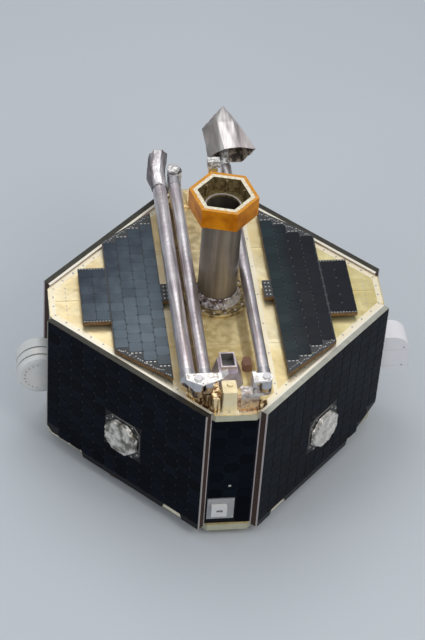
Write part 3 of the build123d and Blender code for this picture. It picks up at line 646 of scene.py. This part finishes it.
# Wire boom covers: a clipped dark plate over each reel hole and, on it, an eight-sided cap
# of crumpled silvered film that the wire leaves through.
cover_dark, wire, place = finish("cover_dark", Specular_IOR_Level=0.4)
x, y, z = place.split()
front = ((abs(x) + abs(y)) * diagonal).rise(0.40285, 0.40295)
cloud = wire.noise(place, 60, 4.0)
dark = wire.blend(cloud.rise(0.45, 0.7), (0.010, 0.012, 0.014), (0.110, 0.105, 0.095))
wire.feed(
    Base_Color=wire.blend(front, (0.55, 0.53, 0.52), dark),
    Metallic=0.6 - front * 0.45,
    Roughness=0.3 + cloud * 0.2,
    Normal=wire.bump(cloud, 0.2, 0.0006),
)
dress(cover_dark, *["wire_boom_plate_" + side for side in panel_turns])
near, far, plate_face = 0.036, 0.056, 0.403
seats = []
for turn, out, across, end in panels:
    for sa in (-1, 1):
        for sb in (-1, 1):
            for a, b in ((far, near), (near, far)):
                spot = out * plate_face + across * sa * a + up * (cap_height + sb * b)
                seats.append((spot, out, 0.0023))
screws("cover_screws", seats)


def baked(thing):
    """The mesh that an object's modifiers give."""
    graph = bpy.context.evaluated_depsgraph_get()
    return bpy.data.meshes.new_from_object(thing.evaluated_get(graph))


def foil_over(source, name, crease, height, film, body, voxel, keep, stretch=(1, 1, 1)):
    """Crumpled film in the shape of a CAD node: a fine grid pushed along creases."""
    blank = bpy.data.objects.new(name + "_blank", nodes[source].data.copy())
    scene.collection.objects.link(blank)
    grid = blank.modifiers.new("grid", "REMESH")
    grid.mode = "VOXEL"
    grid.voxel_size = voxel
    mesh = baked(blank)
    pushed = []
    for vertex in mesh.vertices:
        spot = Vector([c * s / crease for c, s in zip(vertex.co, stretch)])
        near, second = noise.voronoi(spot)[0][:2]
        push = (second - near) * 1.6 - 1.0 + noise.noise(spot * 3.1) * 0.35
        pushed.append(vertex.co + vertex.normal * height * push)
    for vertex, spot in zip(mesh.vertices, pushed):
        vertex.co = spot
    bpy.data.objects.remove(blank)
    mesh.materials.clear()
    mesh.materials.append(film)
    made = bpy.data.objects.new(name, mesh)
    scene.collection.objects.link(made)
    thin = made.modifiers.new("thin", "DECIMATE")
    thin.ratio = keep
    made.data = baked(made)
    made.modifiers.clear()
    made.data.polygons.foreach_set("use_smooth", [True] * len(made.data.polygons))
    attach(made, body)
    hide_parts(source)


cap_film, wire, place = finish("cap_film", Metallic=0.6)
crinkle = wire.noise(place, 42, 4.0)
small = wire.noise(place, 170, 3.0)
foil = wire.blend(crinkle.rise(0.36, 0.60), (0.20, 0.19, 0.16), (0.80, 0.77, 0.71))
# Painted light: the caps on the right side of the satellite are painted paler, as lit film.
painted_light_right = place.split()[0].rise(-0.1, 0.1)
foil = wire.blend(painted_light_right * 0.6, foil, (0.94, 0.90, 0.84))
wire.feed(
    Base_Color=wire.blend(small.rise(0.56, 0.70) * 0.55, foil, (0.12, 0.11, 0.09)),
    Roughness=0.30 + small * 0.2,
    Normal=wire.bump(crinkle + small * 0.3, 0.9, 0.0030),
)
for side in panel_turns:
    cap = "wire_boom_cap_" + side
    foil_over(cap, "cap_film_" + side, 0.022, 0.0026, cap_film, "bus", 0.0014, 0.35)

# Solar array plates: tan-edged boards on stand-off posts above and below the decks, with
# shingled rows of blue-grey cells and small silver end tabs where the strings are joined.
board_edge, wire, place = finish("board_edge")
facing = abs(wire.normal().split()[2]).rise(0.4, 0.8)
layers = (place.split()[2] * 5000).wave() * 0.5 + 0.5
fleck = wire.noise(place, 90, 3.0)
layers_worn = layers * 0.6 * fleck.rise(0.35, 0.6)
edge = wire.blend(layers_worn, (0.13, 0.062, 0.020), (0.46, 0.29, 0.12))
dark = wire.blend(fleck, (0.020, 0.024, 0.028), (0.060, 0.066, 0.070))
wire.feed(
    Base_Color=wire.blend(facing, edge, dark),
    Metallic=facing * 0.1,
    Roughness=0.42 + fleck * 0.2,
    Normal=wire.bump(fleck + layers * 0.2, 0.2, 0.0004),
)
array_names = ["top_array_left", "top_array_right", "bottom_array_left", "bottom_array_right"]
dress(board_edge, *array_names)

deck_cell, wire, place = finish("deck_cell", Specular_IOR_Level=0.22)
u, v, ignored = wire.node("UVMap", {"uv_map": "UVMap"}, {}).split()
chance = wire.node("NewGeometry", {}, {}, "Random Per Island")
fingers = 1 - abs((u * 14).part() - 0.5).rise(0.02, 0.08)
bars = 1 - abs(v - 0.94).rise(0.012, 0.03)
haze = wire.noise(place, 26, 3.0)
x, y, z = place.split()
right_side = x.rise(-0.05, 0.05)
# Painted reflection: the left array's glass is painted lighter towards its near inner corner as a
# sheen, darker at the far end and outer edge and again at the near end. The right array is
# painted darker navy with a teal inner column.
sheen = ((x + 0.30) * 2.2 - (y - 0.05) * 1.3 + haze * 0.6).rise(-0.1, 0.9)
left_glass_and_reflection = wire.blend(sheen, (0.018, 0.028, 0.044), (0.115, 0.155, 0.190))
left_glass_and_reflection = wire.blend(chance * 0.35, left_glass_and_reflection, (0.012, 0.018, 0.030))
near_end = (y * -1).rise(0.20, 0.30)
left_glass_and_reflection = wire.blend(near_end * 0.45, left_glass_and_reflection, (0.022, 0.028, 0.032))
teal = 1 - x.rise(0.18, 0.24)
right_glass_and_reflection = wire.blend(teal, (0.0030, 0.0055, 0.0110), (0.010, 0.026, 0.032))
right_glass_and_reflection = wire.blend(chance * 0.5, right_glass_and_reflection, (0.002, 0.003, 0.005))
glass = wire.blend(right_side, left_glass_and_reflection, right_glass_and_reflection)
# The silver fingers, bars and corner tabs are real. Their colour is painted lighter on the left
# array, and the bars fainter on the right, as painted reflection.
silver_and_glint = wire.blend(right_side, (0.50, 0.57, 0.66), (0.30, 0.34, 0.38))
corner = ((u - 0.90) * (u - 0.90) * 0.6 + (v - 0.07) * (v - 0.07) * 1.6) ** 0.5
tab = (1 - abs(corner - 0.085).rise(0.022, 0.045)) * (chance.rise(0.25, 0.6) * 0.8 + 0.2)
lines = fingers * 0.05 + bars * (0.55 - right_side * 0.42)
lines = lines.larger(tab)
wire.feed(
    Base_Color=wire.blend(lines, glass, silver_and_glint),
    Roughness=0.16 + haze * 0.16 + lines * 0.2,
    Coat_Weight=0.10 - right_side * 0.08,
    Normal=wire.bump(haze + lines * 0.2, 0.15, 0.0006),
)
random.seed(5)
plate_top, plate_under, shingle_lean = 0.506, 0.004, 0.016
columns = []
for n in range(4):
    middle, width = 0.1765 + 0.0368 * n, 0.0360
    columns.append((middle, width, 0.0365, 0.339 - (middle + width / 2 - 0.158) * 0.80))
columns += [(middle, 0.0372, 0.0352, 0.106) for middle in (0.3285, 0.3665)]
tab_plan = [(-0.0036, -0.0018), (0.0036, -0.0018), (0.0030, 0.0018), (-0.0030, 0.0018)]
form, tabs = bmesh.new(), bmesh.new()
for side in (-1, 1):
    for away, face in ((1, plate_top), (-1, plate_under)):
        across, along = Vector((1, 0, 0)), Vector((0, away, 0))
        low, high = sorted((face, face + away * 0.0011))
        for middle, width, pitch, reach in columns:
            count = int(2 * reach / pitch)
            for n in range(count):
                spot_y = (n - (count - 1) / 2) * pitch
                spot = Vector((side * middle, spot_y, face + away * 0.0003))
                tips = (shingle_lean * away + random.gauss(0, 0.006), random.gauss(0, 0.006))
                add_cell(form, spot, across, along, width, pitch * 0.985, 0.0012, tips)
            row_end = count * pitch / 2
            if reach - row_end < 0.005:
                continue
            for end in (-1, 1):
                for k in (-1, 0, 1):
                    tab_x, tab_y = side * (middle + k * 0.011), end * (row_end + 0.0050)
                    outline = [(tab_x + a, tab_y + b) for a, b in tab_plan]
                    add_slab(tabs, outline, low, high, 0.0004)
piece("deck_cells", form, deck_cell)
piece("cell_tabs", tabs, screw_steel)
random.seed(8)
seats = []
for side in (-1, 1):
    for end in (-1, 1):
        start, stop = Vector((0.162, 0.3385)), Vector((0.304, 0.2225))
        for k in range(26):
            px, py = start.lerp(stop, (k + 0.5) / 26)
            py -= random.uniform(0.001, 0.012)
            radius = random.uniform(0.0009, 0.0016)
            seats.append(((side * px, end * py, plate_top), above, radius))
        for k in range(9):
            seats.append(((side * (0.313 + 0.0085 * k), end * 0.1085, plate_top), above, 0.0012))
    for k in range(4):
        for px in (0.1400, 0.1500):
            seats.append(((side * px, -0.024 + 0.016 * k, plate_top), above, 0.0018))
screws("array_studs", seats)

# Mast: a filament-wound tube in grey-brown resin that carries the antenna collar. It
# stands on a gold filmed flange, and a crumpled silver skirt closes its foot.
mast_resin, wire, place = finish("mast_resin")
x, y, z = place.split()
around = wire.math("ARCTAN2", y, x)
winding = ((z * 640 + around * 2.0).wave() + (z * 640 - around * 2.0).wave()) * 0.25 + 0.5
band = (z * 118).part().rise(0.82, 0.98)
cloud = wire.noise(place, 16, 4.0)
streak = wire.noise(place.stretch((1, 1, 0.06)), 60, 3.0)
patchy = cloud * 0.5 + streak.rise(0.35, 0.65) * 0.5
resin = wire.blend(patchy, (0.15, 0.12, 0.092), (0.33, 0.285, 0.23))
resin = wire.blend(band * 0.3, resin, (0.38, 0.35, 0.30))
# Painted shade: the right edge of the tube is painted darker.
resin = wire.blend(x.rise(0.026, 0.050) * 0.6, resin, (0.045, 0.040, 0.034))
# Painted shade: inside the bore the tube is painted near black.
bore = 1 - ((x * x + y * y) ** 0.5).rise(0.0515, 0.0525)
wire.feed(
    Base_Color=wire.blend(bore, resin, (0.008, 0.008, 0.010)),
    Metallic=(0.28 + cloud * 0.12) * (1 - bore),
    Roughness=0.28 + winding * 0.08 + cloud * 0.08,
    Normal=wire.bump(winding * 0.5 + band + cloud, 0.3, 0.0006),
)
dress(mast_resin, "mast_tube", "lower_axial_tube")
# The flange film is crumpled brown-gold, painted darker all over as painted shade under the
# skirt.
flange_film, wire, place = finish("flange_film", Metallic=0.5)
crinkle = wire.noise(place, 70, 4.0)
wire.feed(
    Base_Color=wire.blend(crinkle.rise(0.35, 0.62), (0.13, 0.088, 0.032), (0.50, 0.39, 0.18)),
    Roughness=0.28 + crinkle * 0.18,
    Normal=wire.bump(crinkle, 0.7, 0.0018),
)
dress(flange_film, "mast_flange")
seats = [(heading(22.5 * k + 11, 0.081, 0.492), above, 0.0027) for k in range(16)]
screws("flange_screws", seats)
skirt_film, wire, place = finish("skirt_film", Metallic=0.8)
x, y, z = place.split()
crinkle = wire.noise(place, 75, 4.0)
# Painted highlight: the right front of the skirt is painted as a bright silver crescent; the rest
# is darker mauve.
front = (x * 0.75 - y * 0.65).rise(0.040, 0.068)
mauve = wire.blend(crinkle.rise(0.38, 0.60), (0.13, 0.095, 0.10), (0.84, 0.79, 0.82))
silver = wire.blend(crinkle.rise(0.3, 0.5), (0.55, 0.50, 0.46), (0.96, 0.94, 0.94))
wire.feed(
    Base_Color=wire.blend(front, mauve, silver),
    Roughness=0.22 + crinkle * 0.2,
    Normal=wire.bump(crinkle, 0.6, 0.0016),
)
squeezed = (1, 1, 0.5)
foil_over("mast_skirt", "skirt_film", 0.013, 0.0022, skirt_film, "bus", 0.0016, 0.4, squeezed)

# Antenna collar: a six-sided cup in orange polyimide film. Its rim and inner walls are
# bare cream and brown laminate, and a pale ring marks the bore.
collar_film, wire, place = finish("collar_film", Specular_IOR_Level=0.3)
x, y, z = place.split()
reach = (x * x + y * y) ** 0.5
bare = z.rise(0.8628, 0.8636)
inside = (1 - reach.rise(0.0765, 0.0790)) * (1 - bare)
ring = (1 - reach.rise(0.0524, 0.0530)) * z.rise(0.8170, 0.8185) * inside
sag = wire.noise(place, 22, 3.0)
crinkle = wire.noise(place, 110, 4.0)
amber = wire.blend(sag.rise(0.3, 0.7), (0.58, 0.165, 0.003), (0.88, 0.33, 0.009))
laminate = wire.blend(crinkle.rise(0.3, 0.7), (0.12, 0.080, 0.030), (0.32, 0.25, 0.12))
flats = 0.0
for turn in (15.5, 75.5, 135.5):
    away = heading(turn)
    flats = abs(x * away.x + y * away.y).larger(flats)
folded_over = flats.rise(0.0735, 0.0752) * (1 - crinkle.rise(0.55, 0.75) * 0.5)
cream = wire.blend(crinkle.rise(0.35, 0.65), (0.66, 0.58, 0.42), (0.84, 0.80, 0.66))
cream = wire.blend(folded_over, cream, (0.62, 0.26, 0.016))
color = wire.blend(inside, amber, laminate)
color = wire.blend(bare, color, cream)
wire.feed(
    Base_Color=wire.blend(ring, color, (0.50, 0.46, 0.42)),
    Metallic=0.75 - inside * 0.5 - bare * 0.5,
    Roughness=0.30 + crinkle * 0.16,
    Normal=wire.bump(sag * 4 + crinkle, 0.5, 0.0009),
)
dress(collar_film, "antenna_collar")
rivet_reach, rim_height = 0.0855, 0.864
seats = []
for k in range(6):
    corner, after = [heading(60 * n - 14.5, rivet_reach, rim_height) for n in (k, k + 1)]
    seats += [(corner.lerp(after, share), above, 0.0013) for share in (0.0, 0.25, 0.5, 0.75)]
screws("collar_rivets", seats)

# Far corner hardware: the sheet pedestal of the folded boom's root hinge and the rest
# under the search coil boom, both wrapped in gold film with a white fold at the top.
film_wrap, wire, place = finish("film_wrap")
crinkle = wire.noise(place, 90, 4.0)
fold = wire.noise(place, 22, 2.0)
x, y, z = place.split()
bracket = z.rise(0.520, 0.530) * (1 - x.rise(-0.03, -0.02))
white = z.rise(0.583, 0.588).larger(bracket) * y.rise(0.30, 0.31)
gold = wire.blend(fold.rise(0.3, 0.7), (0.74, 0.52, 0.20), (0.93, 0.82, 0.55))
gold = wire.blend(crinkle.rise(0.55, 0.8) * 0.4, gold, (0.42, 0.26, 0.09))
pale = 1 - y.rise(-0.30, -0.20)
gold = wire.blend(pale * 0.75, gold, wire.blend(fold, (0.88, 0.76, 0.44), (0.99, 0.93, 0.72)))
bright = wire.blend(crinkle.rise(0.4, 0.65), (0.45, 0.43, 0.40), (0.94, 0.93, 0.92))
wire.feed(
    Base_Color=wire.blend(white, gold, bright),
    Metallic=0.62 + fold * 0.2 - pale * 0.4,
    Roughness=0.22 + crinkle * 0.2,
    Normal=wire.bump(fold * 3 + crinkle, 0.7, 0.0014),
)
dress(film_wrap, "far_bracket", "coil_rest")
spots = [(-0.080, 0.395), (-0.020, 0.395), (-0.022, 0.455), (-0.048, 0.455), (-0.084, 0.424)]
screws("bracket_screws", [((*spot, 0.489), above, 0.0022) for spot in spots])

# Hinges: machined aluminium hubs, forks and sleeves of the three boom hinges, with
# plain steel pins. A copper film hangs round the foot of the near ones.
hinge_alloy, wire, place = finish("hinge_alloy", Metallic=0.95)
worn = wire.worn_edge(0.0010, 0.8)
mottle = wire.noise(place, 60, 4.0)
x, y, z = place.split()
alloy = wire.blend(mottle, (0.48, 0.47, 0.49), (0.64, 0.63, 0.65))
ribs = wire.noise(place.stretch((1, 1, 0.15)), 70, 2.0)
copper = wire.blend(ribs.rise(0.42, 0.62), (0.050, 0.026, 0.014), (0.62, 0.42, 0.22))
alloy = wire.blend((1 - z.rise(0.562, 0.568)) * (1 - y.rise(-0.42, -0.40)), alloy, copper)
wire.feed(
    Base_Color=wire.blend(worn, alloy, (0.88, 0.87, 0.87)),
    Roughness=0.24 + mottle * 0.18,
    Normal=wire.bump(mottle, 0.15, 0.0004),
)
dress(hinge_alloy, "inner_boom_hub", "elbow_fork", "elbow_tongue", "coil_boom_hub")
dress(hinge_alloy, "far_hinge_pin", "elbow_pin", "near_hinge_pin")

# White film: crumpled white-silver film that is bagged round the root hub, caps the root
# pin and is heaped over the coil rest.
white_bag, wire, place = finish("white_bag", Metallic=0.45)
crinkle = wire.noise(place, 120, 4.0)
wire.feed(
    Base_Color=wire.blend(crinkle.rise(0.38, 0.62), (0.36, 0.35, 0.33), (0.93, 0.92, 0.92)),
    Roughness=0.26 + crinkle * 0.2,
    Normal=wire.bump(crinkle, 0.9, 0.0016),
)
sides, rows, bag_foot, bag_height = 30, 9, 0.5465, 0.0425
form = bmesh.new()
shells = []
for skin in (0, 0.0004):
    rings = []
    for row in range(rows + 1):
        level = bag_foot + bag_height * row / rows
        ring = []
        for k in range(sides):
            out = heading(360 * k / sides)
            push = noise.noise(out * 2.3 + up * (level * 130 + 3))
            spot = Vector((-0.079, 0.437, level)) + out * (0.0212 + 0.0024 * push - skin)
            ring.append(form.verts.new(spot))
        rings.append(ring)
    shells.append(rings)
    for lower, upper in zip(rings, rings[1:]):
        loft(form, lower, upper)
for row in (0, rows):
    loft(form, shells[0][row], shells[1][row])
piece("root_hub_film", form, white_bag, "inner_boom")
form = bmesh.new()
pin_cap = [(0, 0.0002), (0.0175, 0.0002), (0.0198, 0.0030), (0.0180, 0.0085)]
pin_cap += [(0.0125, 0.0125), (0.0060, 0.0145), (0, 0.0150)]
turned(form, pin_cap, (-0.083, 0.437, 0.5893), above, 26)
noise.seed_set(4)
for vertex in form.verts:
    if vertex.co.z > 0.590:
        vertex.co += noise.noise_vector(vertex.co * 150) * 0.0022
piece("root_pin_film", form, white_bag)
rest_middle, rest_size = Vector((0.0375, 0.4515, 0.6020)), Vector((0.040, 0.026, 0.027))
form = bmesh.new()
bmesh.ops.create_cube(form, size=1.0)
bmesh.ops.subdivide_edges(form, edges=form.edges, cuts=9, use_grid_fill=True)
for vertex in form.verts:
    rounded = vertex.co * (0.72 + 0.28 * 0.5 / max(0.5, vertex.co.length))
    vertex.co = rest_middle + rounded * rest_size
    vertex.co += noise.noise_vector(vertex.co * 140) * 0.0024
piece("rest_film", form, white_bag)

# Boom tubes: composite tubes under silvered tape wound on in a slow spiral, so each turn
# laps the last and the tape wrinkles. The two folded segments lie side by side.
boom_tape, wire, place = finish("boom_tape", Metallic=0.9)
crinkle = wire.noise(place.stretch((1, 0.25, 1)), 110, 3.0)
streak = wire.noise(place.stretch((1, 0.04, 1)), 150, 3.0)
tone = wire.noise(place, 14, 3.0)
tape = wire.blend(tone.rise(0.3, 0.7), (0.64, 0.57, 0.61), (0.90, 0.87, 0.88))
wire.feed(
    Base_Color=wire.blend(streak.rise(0.44, 0.66) * 0.55, tape, (0.26, 0.21, 0.21)),
    Roughness=0.27 + crinkle * 0.10,
    Normal=wire.bump(streak + crinkle * 0.2, 0.35, 0.0008),
)


boom_height = 0.570


def taped_tube(name, source, centre_x, radius, far_end, body, seed):
    """A tube along Y whose skin steps up at each turn of the tape and wrinkles."""
    form = bmesh.new()
    near_end, sides = -0.414, 28
    rows = int((far_end - near_end) / 0.0032)
    rings = []
    for row in range(rows + 1):
        spot_y = near_end + (far_end - near_end) * row / rows
        axis = Vector((centre_x, spot_y, boom_height))
        ring = []
        for k in range(sides):
            out = round_y(360 * k / sides)
            lap = (spot_y / 0.021 + k / sides) % 1.0
            wrinkle = noise.noise(Vector((out.x * 1.7, out.z * 1.7, spot_y * 70 + seed)))
            size = radius - 0.00030 + 0.00022 * lap + 0.00014 * wrinkle
            ring.append(form.verts.new(axis + out * size))
        rings.append(ring)
    for low, high in zip(rings, rings[1:]):
        loft(form, low, high)
    form.faces.new(rings[0])
    form.faces.new(rings[-1])
    tube = piece(name, form, boom_tape, body, smooth=True)
    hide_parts(source)


taped_tube("inner_tube_tape", "inner_boom_tube", -0.083, 0.0175, 0.405, "inner_boom", 1)
taped_tube("outer_tube_tape", "outer_boom_tube", -0.129, 0.0205, 0.394, "outer_boom", 9)
taped_tube("coil_tube_tape", "coil_boom_tube", 0.077, 0.0165, 0.4665, "coil_boom", 17)

# Elbow plate: an arrow-shaped silver filmed sheet screwed on top of the elbow fork, over
# both folded tubes, with an ear bent up at its right end.
corner_film, wire, place = finish("corner_film", Metallic=0.65)
x, y, z = place.split()
crinkle = wire.noise(place, 95, 4.0)
fold = wire.noise(place, 34, 3.0)
# Painted light and shade: the film's tops above 0.59 m are painted pale as lit film, and the
# faces below darker silver with heavier dark creases.
top = z.rise(0.590, 0.594)
silver = wire.blend(fold.rise(0.36, 0.62), (0.28, 0.23, 0.22), (0.70, 0.66, 0.64))
pale = wire.blend(fold.rise(0.30, 0.50), (0.56, 0.51, 0.50), (0.99, 0.97, 0.93))
silver = wire.blend(top, silver, pale)
silver = wire.blend(crinkle.rise(0.52, 0.70) * (0.7 - top * 0.4), silver, (0.16, 0.12, 0.10))
foot = 1 - z.rise(0.512, 0.545)
copper = wire.blend(crinkle.rise(0.35, 0.65), (0.20, 0.09, 0.03), (0.80, 0.54, 0.26))
wire.feed(
    Base_Color=wire.blend(foot * 0.8, silver, copper),
    Roughness=0.22 + crinkle * 0.2,
    Normal=wire.bump(fold * 2 + crinkle, 0.9, 0.0020),
)
dress(corner_film, "elbow_plate")
spots = [(x, y) for x in (-0.133, -0.054) for y in (-0.431, -0.443)] + [(-0.096, -0.466)]
screws("elbow_screws", [((*spot, 0.600), above, 0.0020) for spot in spots], "inner_boom")

# Magnetometer can: a tent of crinkled silver film over the sensor at the tip of the folded
# boom, drawn straight on its right side and bulging on its left.
can_film, wire, place = finish("can_film", Metallic=0.75)
streak = wire.noise(place.stretch((1, 0.16, 0.6)), 80, 3.0)
broad = wire.noise(place.stretch((1, 0.4, 0.8)), 30, 3.0)
x, y, z = place.split()
# Painted shade: both flanks of the can are painted dark.
shaded_flanks = (1 - x.rise(-0.152, -0.142)).larger(x.rise(-0.116, -0.108))
film = wire.blend(broad.rise(0.35, 0.65), (0.40, 0.37, 0.39), (0.84, 0.81, 0.82))
film = wire.blend(shaded_flanks * 0.75, film, (0.16, 0.15, 0.16))
wire.feed(
    Base_Color=wire.blend(streak.rise(0.50, 0.68) * 0.7, film, (0.18, 0.15, 0.16)),
    Roughness=0.34 + streak * 0.16,
    Normal=wire.bump(broad * 2 + streak, 0.8, 0.0024),
)
drawn = (1, 0.45, 1)
foil_over(
    "magnetometer_can", "can_film", 0.026, 0.0024, can_film, "outer_boom", 0.0018, 0.3, drawn
)

# Near corner hardware: a ribbed tower of orange-gold film under the elbow, the pale gold
# release box and the silvered bracket of the search coil boom, with its harness block.
tower_film, wire, place = finish("tower_film")
crinkle = wire.noise(place, 80, 4.0)
fold = wire.noise(place, 26, 2.0)
rib = wire.noise(place.stretch((1, 1, 0.12)), 60, 2.0)
copper = wire.blend(rib.rise(0.44, 0.62), (0.14, 0.065, 0.020), (0.96, 0.74, 0.42))
wire.feed(
    Base_Color=wire.blend(crinkle.rise(0.55, 0.8) * 0.6, copper, (0.10, 0.045, 0.014)),
    Metallic=0.68 + fold * 0.2,
    Roughness=0.18 + crinkle * 0.18,
    Normal=wire.bump(fold * 3 + crinkle, 0.7, 0.0014),
)
dress(tower_film, "elbow_tower", "harness_block")
dress(film_wrap, "release_box")
dress(corner_film, "near_bracket")
spots = [(0.019, 0.500), (0.052, 0.500), (0.019, 0.534), (0.046, 0.556), (0.046, 0.580)]
seats = [((x, -0.458, z), frontward, 0.0020) for x, z in spots]
spots = [(-0.104, -0.404), (-0.054, -0.404), (-0.053, -0.452)]
screws("tower_screws", seats + [((*spot, 0.537), above, 0.0020) for spot in spots])

# Search coil boom tip: the neck turns up out of the tube and a pointed hood of crinkled
# silver film covers the coils. Its mouth is open and faces back down.
dress(white_bag, "coil_neck")
hood_film, wire, place = finish("hood_film")
streak = wire.noise(place.stretch((1, 0.10, 0.25)), 70, 3.0)
broad = wire.noise(place.stretch((1, 0.15, 0.30)), 24, 2.0)
x, y, z = place.split()
nx, ignored, nz = wire.normal().split()
above_axis = z - 0.5845 - (y - 0.4983) * 0.4557
lining = 1 - ((x - 0.077) * nx + above_axis * nz).rise(-0.012, 0.000)
# Painted light and shade: the hood's centre and right facets are painted pale as lit film, and
# its left facet dark.
tipward = y.rise(0.586, 0.653)
lit_right_face = (x + tipward * 0.024).rise(0.106, 0.118)
centre = (x - tipward * 0.022).rise(0.055, 0.067) * (1 - lit_right_face)
film = wire.blend(broad.rise(0.35, 0.65), (0.17, 0.155, 0.15), (0.36, 0.335, 0.325))
pale = wire.blend(broad.rise(0.35, 0.65), (0.56, 0.50, 0.50), (0.86, 0.81, 0.80))
film = wire.blend(lit_right_face, film, pale)
pale = wire.blend(broad.rise(0.30, 0.55), (0.54, 0.50, 0.50), (0.84, 0.80, 0.79))
film = wire.blend(centre, film, pale)
film = wire.blend(streak.rise(0.50, 0.70) * 0.6, film, (0.26, 0.22, 0.22))
# The lining inside the mouth is brown crumpled film, painted brighter as painted light reflected
# into the mouth.
crumple = wire.noise(place, 60, 3.0)
brown = wire.blend(crumple.rise(0.42, 0.58), (0.055, 0.044, 0.034), (0.62, 0.54, 0.44))
wire.feed(
    Base_Color=wire.blend(lining * 0.9, film, brown),
    Metallic=0.12 + (centre + lit_right_face) * 0.33,
    Roughness=0.46 - centre * 0.06 + streak * 0.16,
    Normal=wire.bump(broad * 2 + streak + lining * crumple * 2, 0.8, 0.0024),
)
drawn = (1, 0.22, 0.5)
foil_over("coil_hood", "hood_film", 0.026, 0.0022, hood_film, "coil_boom", 0.0017, 0.3, drawn)

# Deck instrument: a low body in silver-mauve film with a square dark window on a snout,
# and beside it a small brown connector block.
mauve_film, wire, place = finish("mauve_film")
x, y, z = place.split()
window = (1 - abs(x + 0.009).rise(0.0171, 0.0177)) * (1 - abs(y + 0.318).rise(0.0241, 0.0247))
window = window * z.rise(0.5120, 0.5130) * (1 - z.rise(0.5405, 0.5415))
crinkle = wire.noise(place, 100, 4.0)
tone = wire.noise(place, 24, 2.0)
film = wire.blend(tone.rise(0.3, 0.7), (0.56, 0.49, 0.56), (0.84, 0.80, 0.86))
wire.feed(
    Base_Color=wire.blend(window, film, (0.16, 0.155, 0.145)),
    Metallic=0.7 - window * 0.7,
    Roughness=0.24 + crinkle * 0.2,
    Normal=wire.bump(tone * 2 + crinkle, 0.7, 0.0012),
)
dress(mauve_film, "deck_instrument")
brown_block, wire, place = finish("brown_block")
patch = wire.noise(place, 70, 3.0)
wire.feed(
    Base_Color=wire.blend(patch, (0.16, 0.07, 0.05), (0.40, 0.22, 0.15)),
    Metallic=patch * 0.4,
    Roughness=0.35 + patch * 0.2,
    Normal=wire.bump(patch, 0.4, 0.0006),
)
dress(brown_block, "connector_block")

# Stage: the camera stands high in front, a plain pale floor carries the satellite, and
# soft lamps light it from above and from both sides.
azimuth, elevation, lean = math.radians(9.49), math.radians(42.88), math.radians(4.31)
eye = Vector((-0.794, -4.714, 4.830))
level = Vector((math.sin(azimuth), math.cos(azimuth), 0))
ahead = level * math.cos(elevation) - up * math.sin(elevation)
right = ahead.cross(up).normalized()
overhead = right.cross(ahead)
rolled_right = right * math.cos(lean) + overhead * math.sin(lean)
rolled_overhead = overhead * math.cos(lean) - right * math.sin(lean)
lens = bpy.data.cameras.new("camera")
lens.lens = 128.4
lens.sensor_width = 36.0
lens.clip_end = 60
camera = bpy.data.objects.new("camera", lens)
scene.collection.objects.link(camera)
facing = Matrix((rolled_right, rolled_overhead, -ahead)).transposed()
camera.matrix_world = Matrix.Translation(eye) @ facing.to_4x4()
scene.camera = camera

floor_paint, wire, place = finish("floor_paint", Specular_IOR_Level=0.2)
mist = wire.noise(place, 0.8, 2.0)
wire.feed(
    Base_Color=wire.blend(mist, (0.52, 0.56, 0.60), (0.56, 0.60, 0.64)),
    Roughness=0.6 + mist * 0.1,
)
form = bmesh.new()
bmesh.ops.create_circle(form, cap_ends=True, segments=96, radius=9.0)
mesh = bpy.data.meshes.new("floor")
form.to_mesh(mesh)
form.free()
mesh.materials.append(floor_paint)
floor = bpy.data.objects.new("floor", mesh)
scene.collection.objects.link(floor)

world = bpy.data.worlds.new("studio")
scene.world = world
world.use_nodes = True
sky = Wire(world.node_tree)
climb = sky.node("TexCoord", {}, {}, "Generated").split()[2]
stops = [
    (0.0, (0.20, 0.20, 0.20)),
    (0.48, (0.20, 0.20, 0.21)),
    (0.58, (0.17, 0.18, 0.20)),
    (0.74, (0.46, 0.47, 0.49)),
    (1.0, (0.80, 0.81, 0.84)),
]
studio = sky.node("ValToRGB", {"stops": stops}, {"Fac": climb * 0.5 + 0.5})
backdrop = world.node_tree.nodes["Background"]
world.node_tree.links.new(studio.socket, backdrop.inputs["Color"])

lamp_table = [
    ("key", (1.9, -2.6, 3.6), 1.9, 47, (1.0, 0.97, 0.93)),
    ("fill", (-3.2, -1.4, 2.6), 1.8, 15, (0.92, 0.96, 1.0)),
    ("top", (-0.3, 1.4, 4.0), 2.8, 40, (1.0, 0.99, 0.97)),
]
for name, spot, size, power, tint in lamp_table:
    light = bpy.data.lights.new(name, "AREA")
    light.size = size
    light.energy = power
    light.color = tint
    lamp = bpy.data.objects.new(name, light)
    scene.collection.objects.link(lamp)
    lamp.location = spot
    aim = Vector((0, 0, 0.4)) - Vector(spot)
    lamp.rotation_euler = aim.to_track_quat("-Z", "Y").to_euler()

scene.view_settings.view_transform = "Standard"
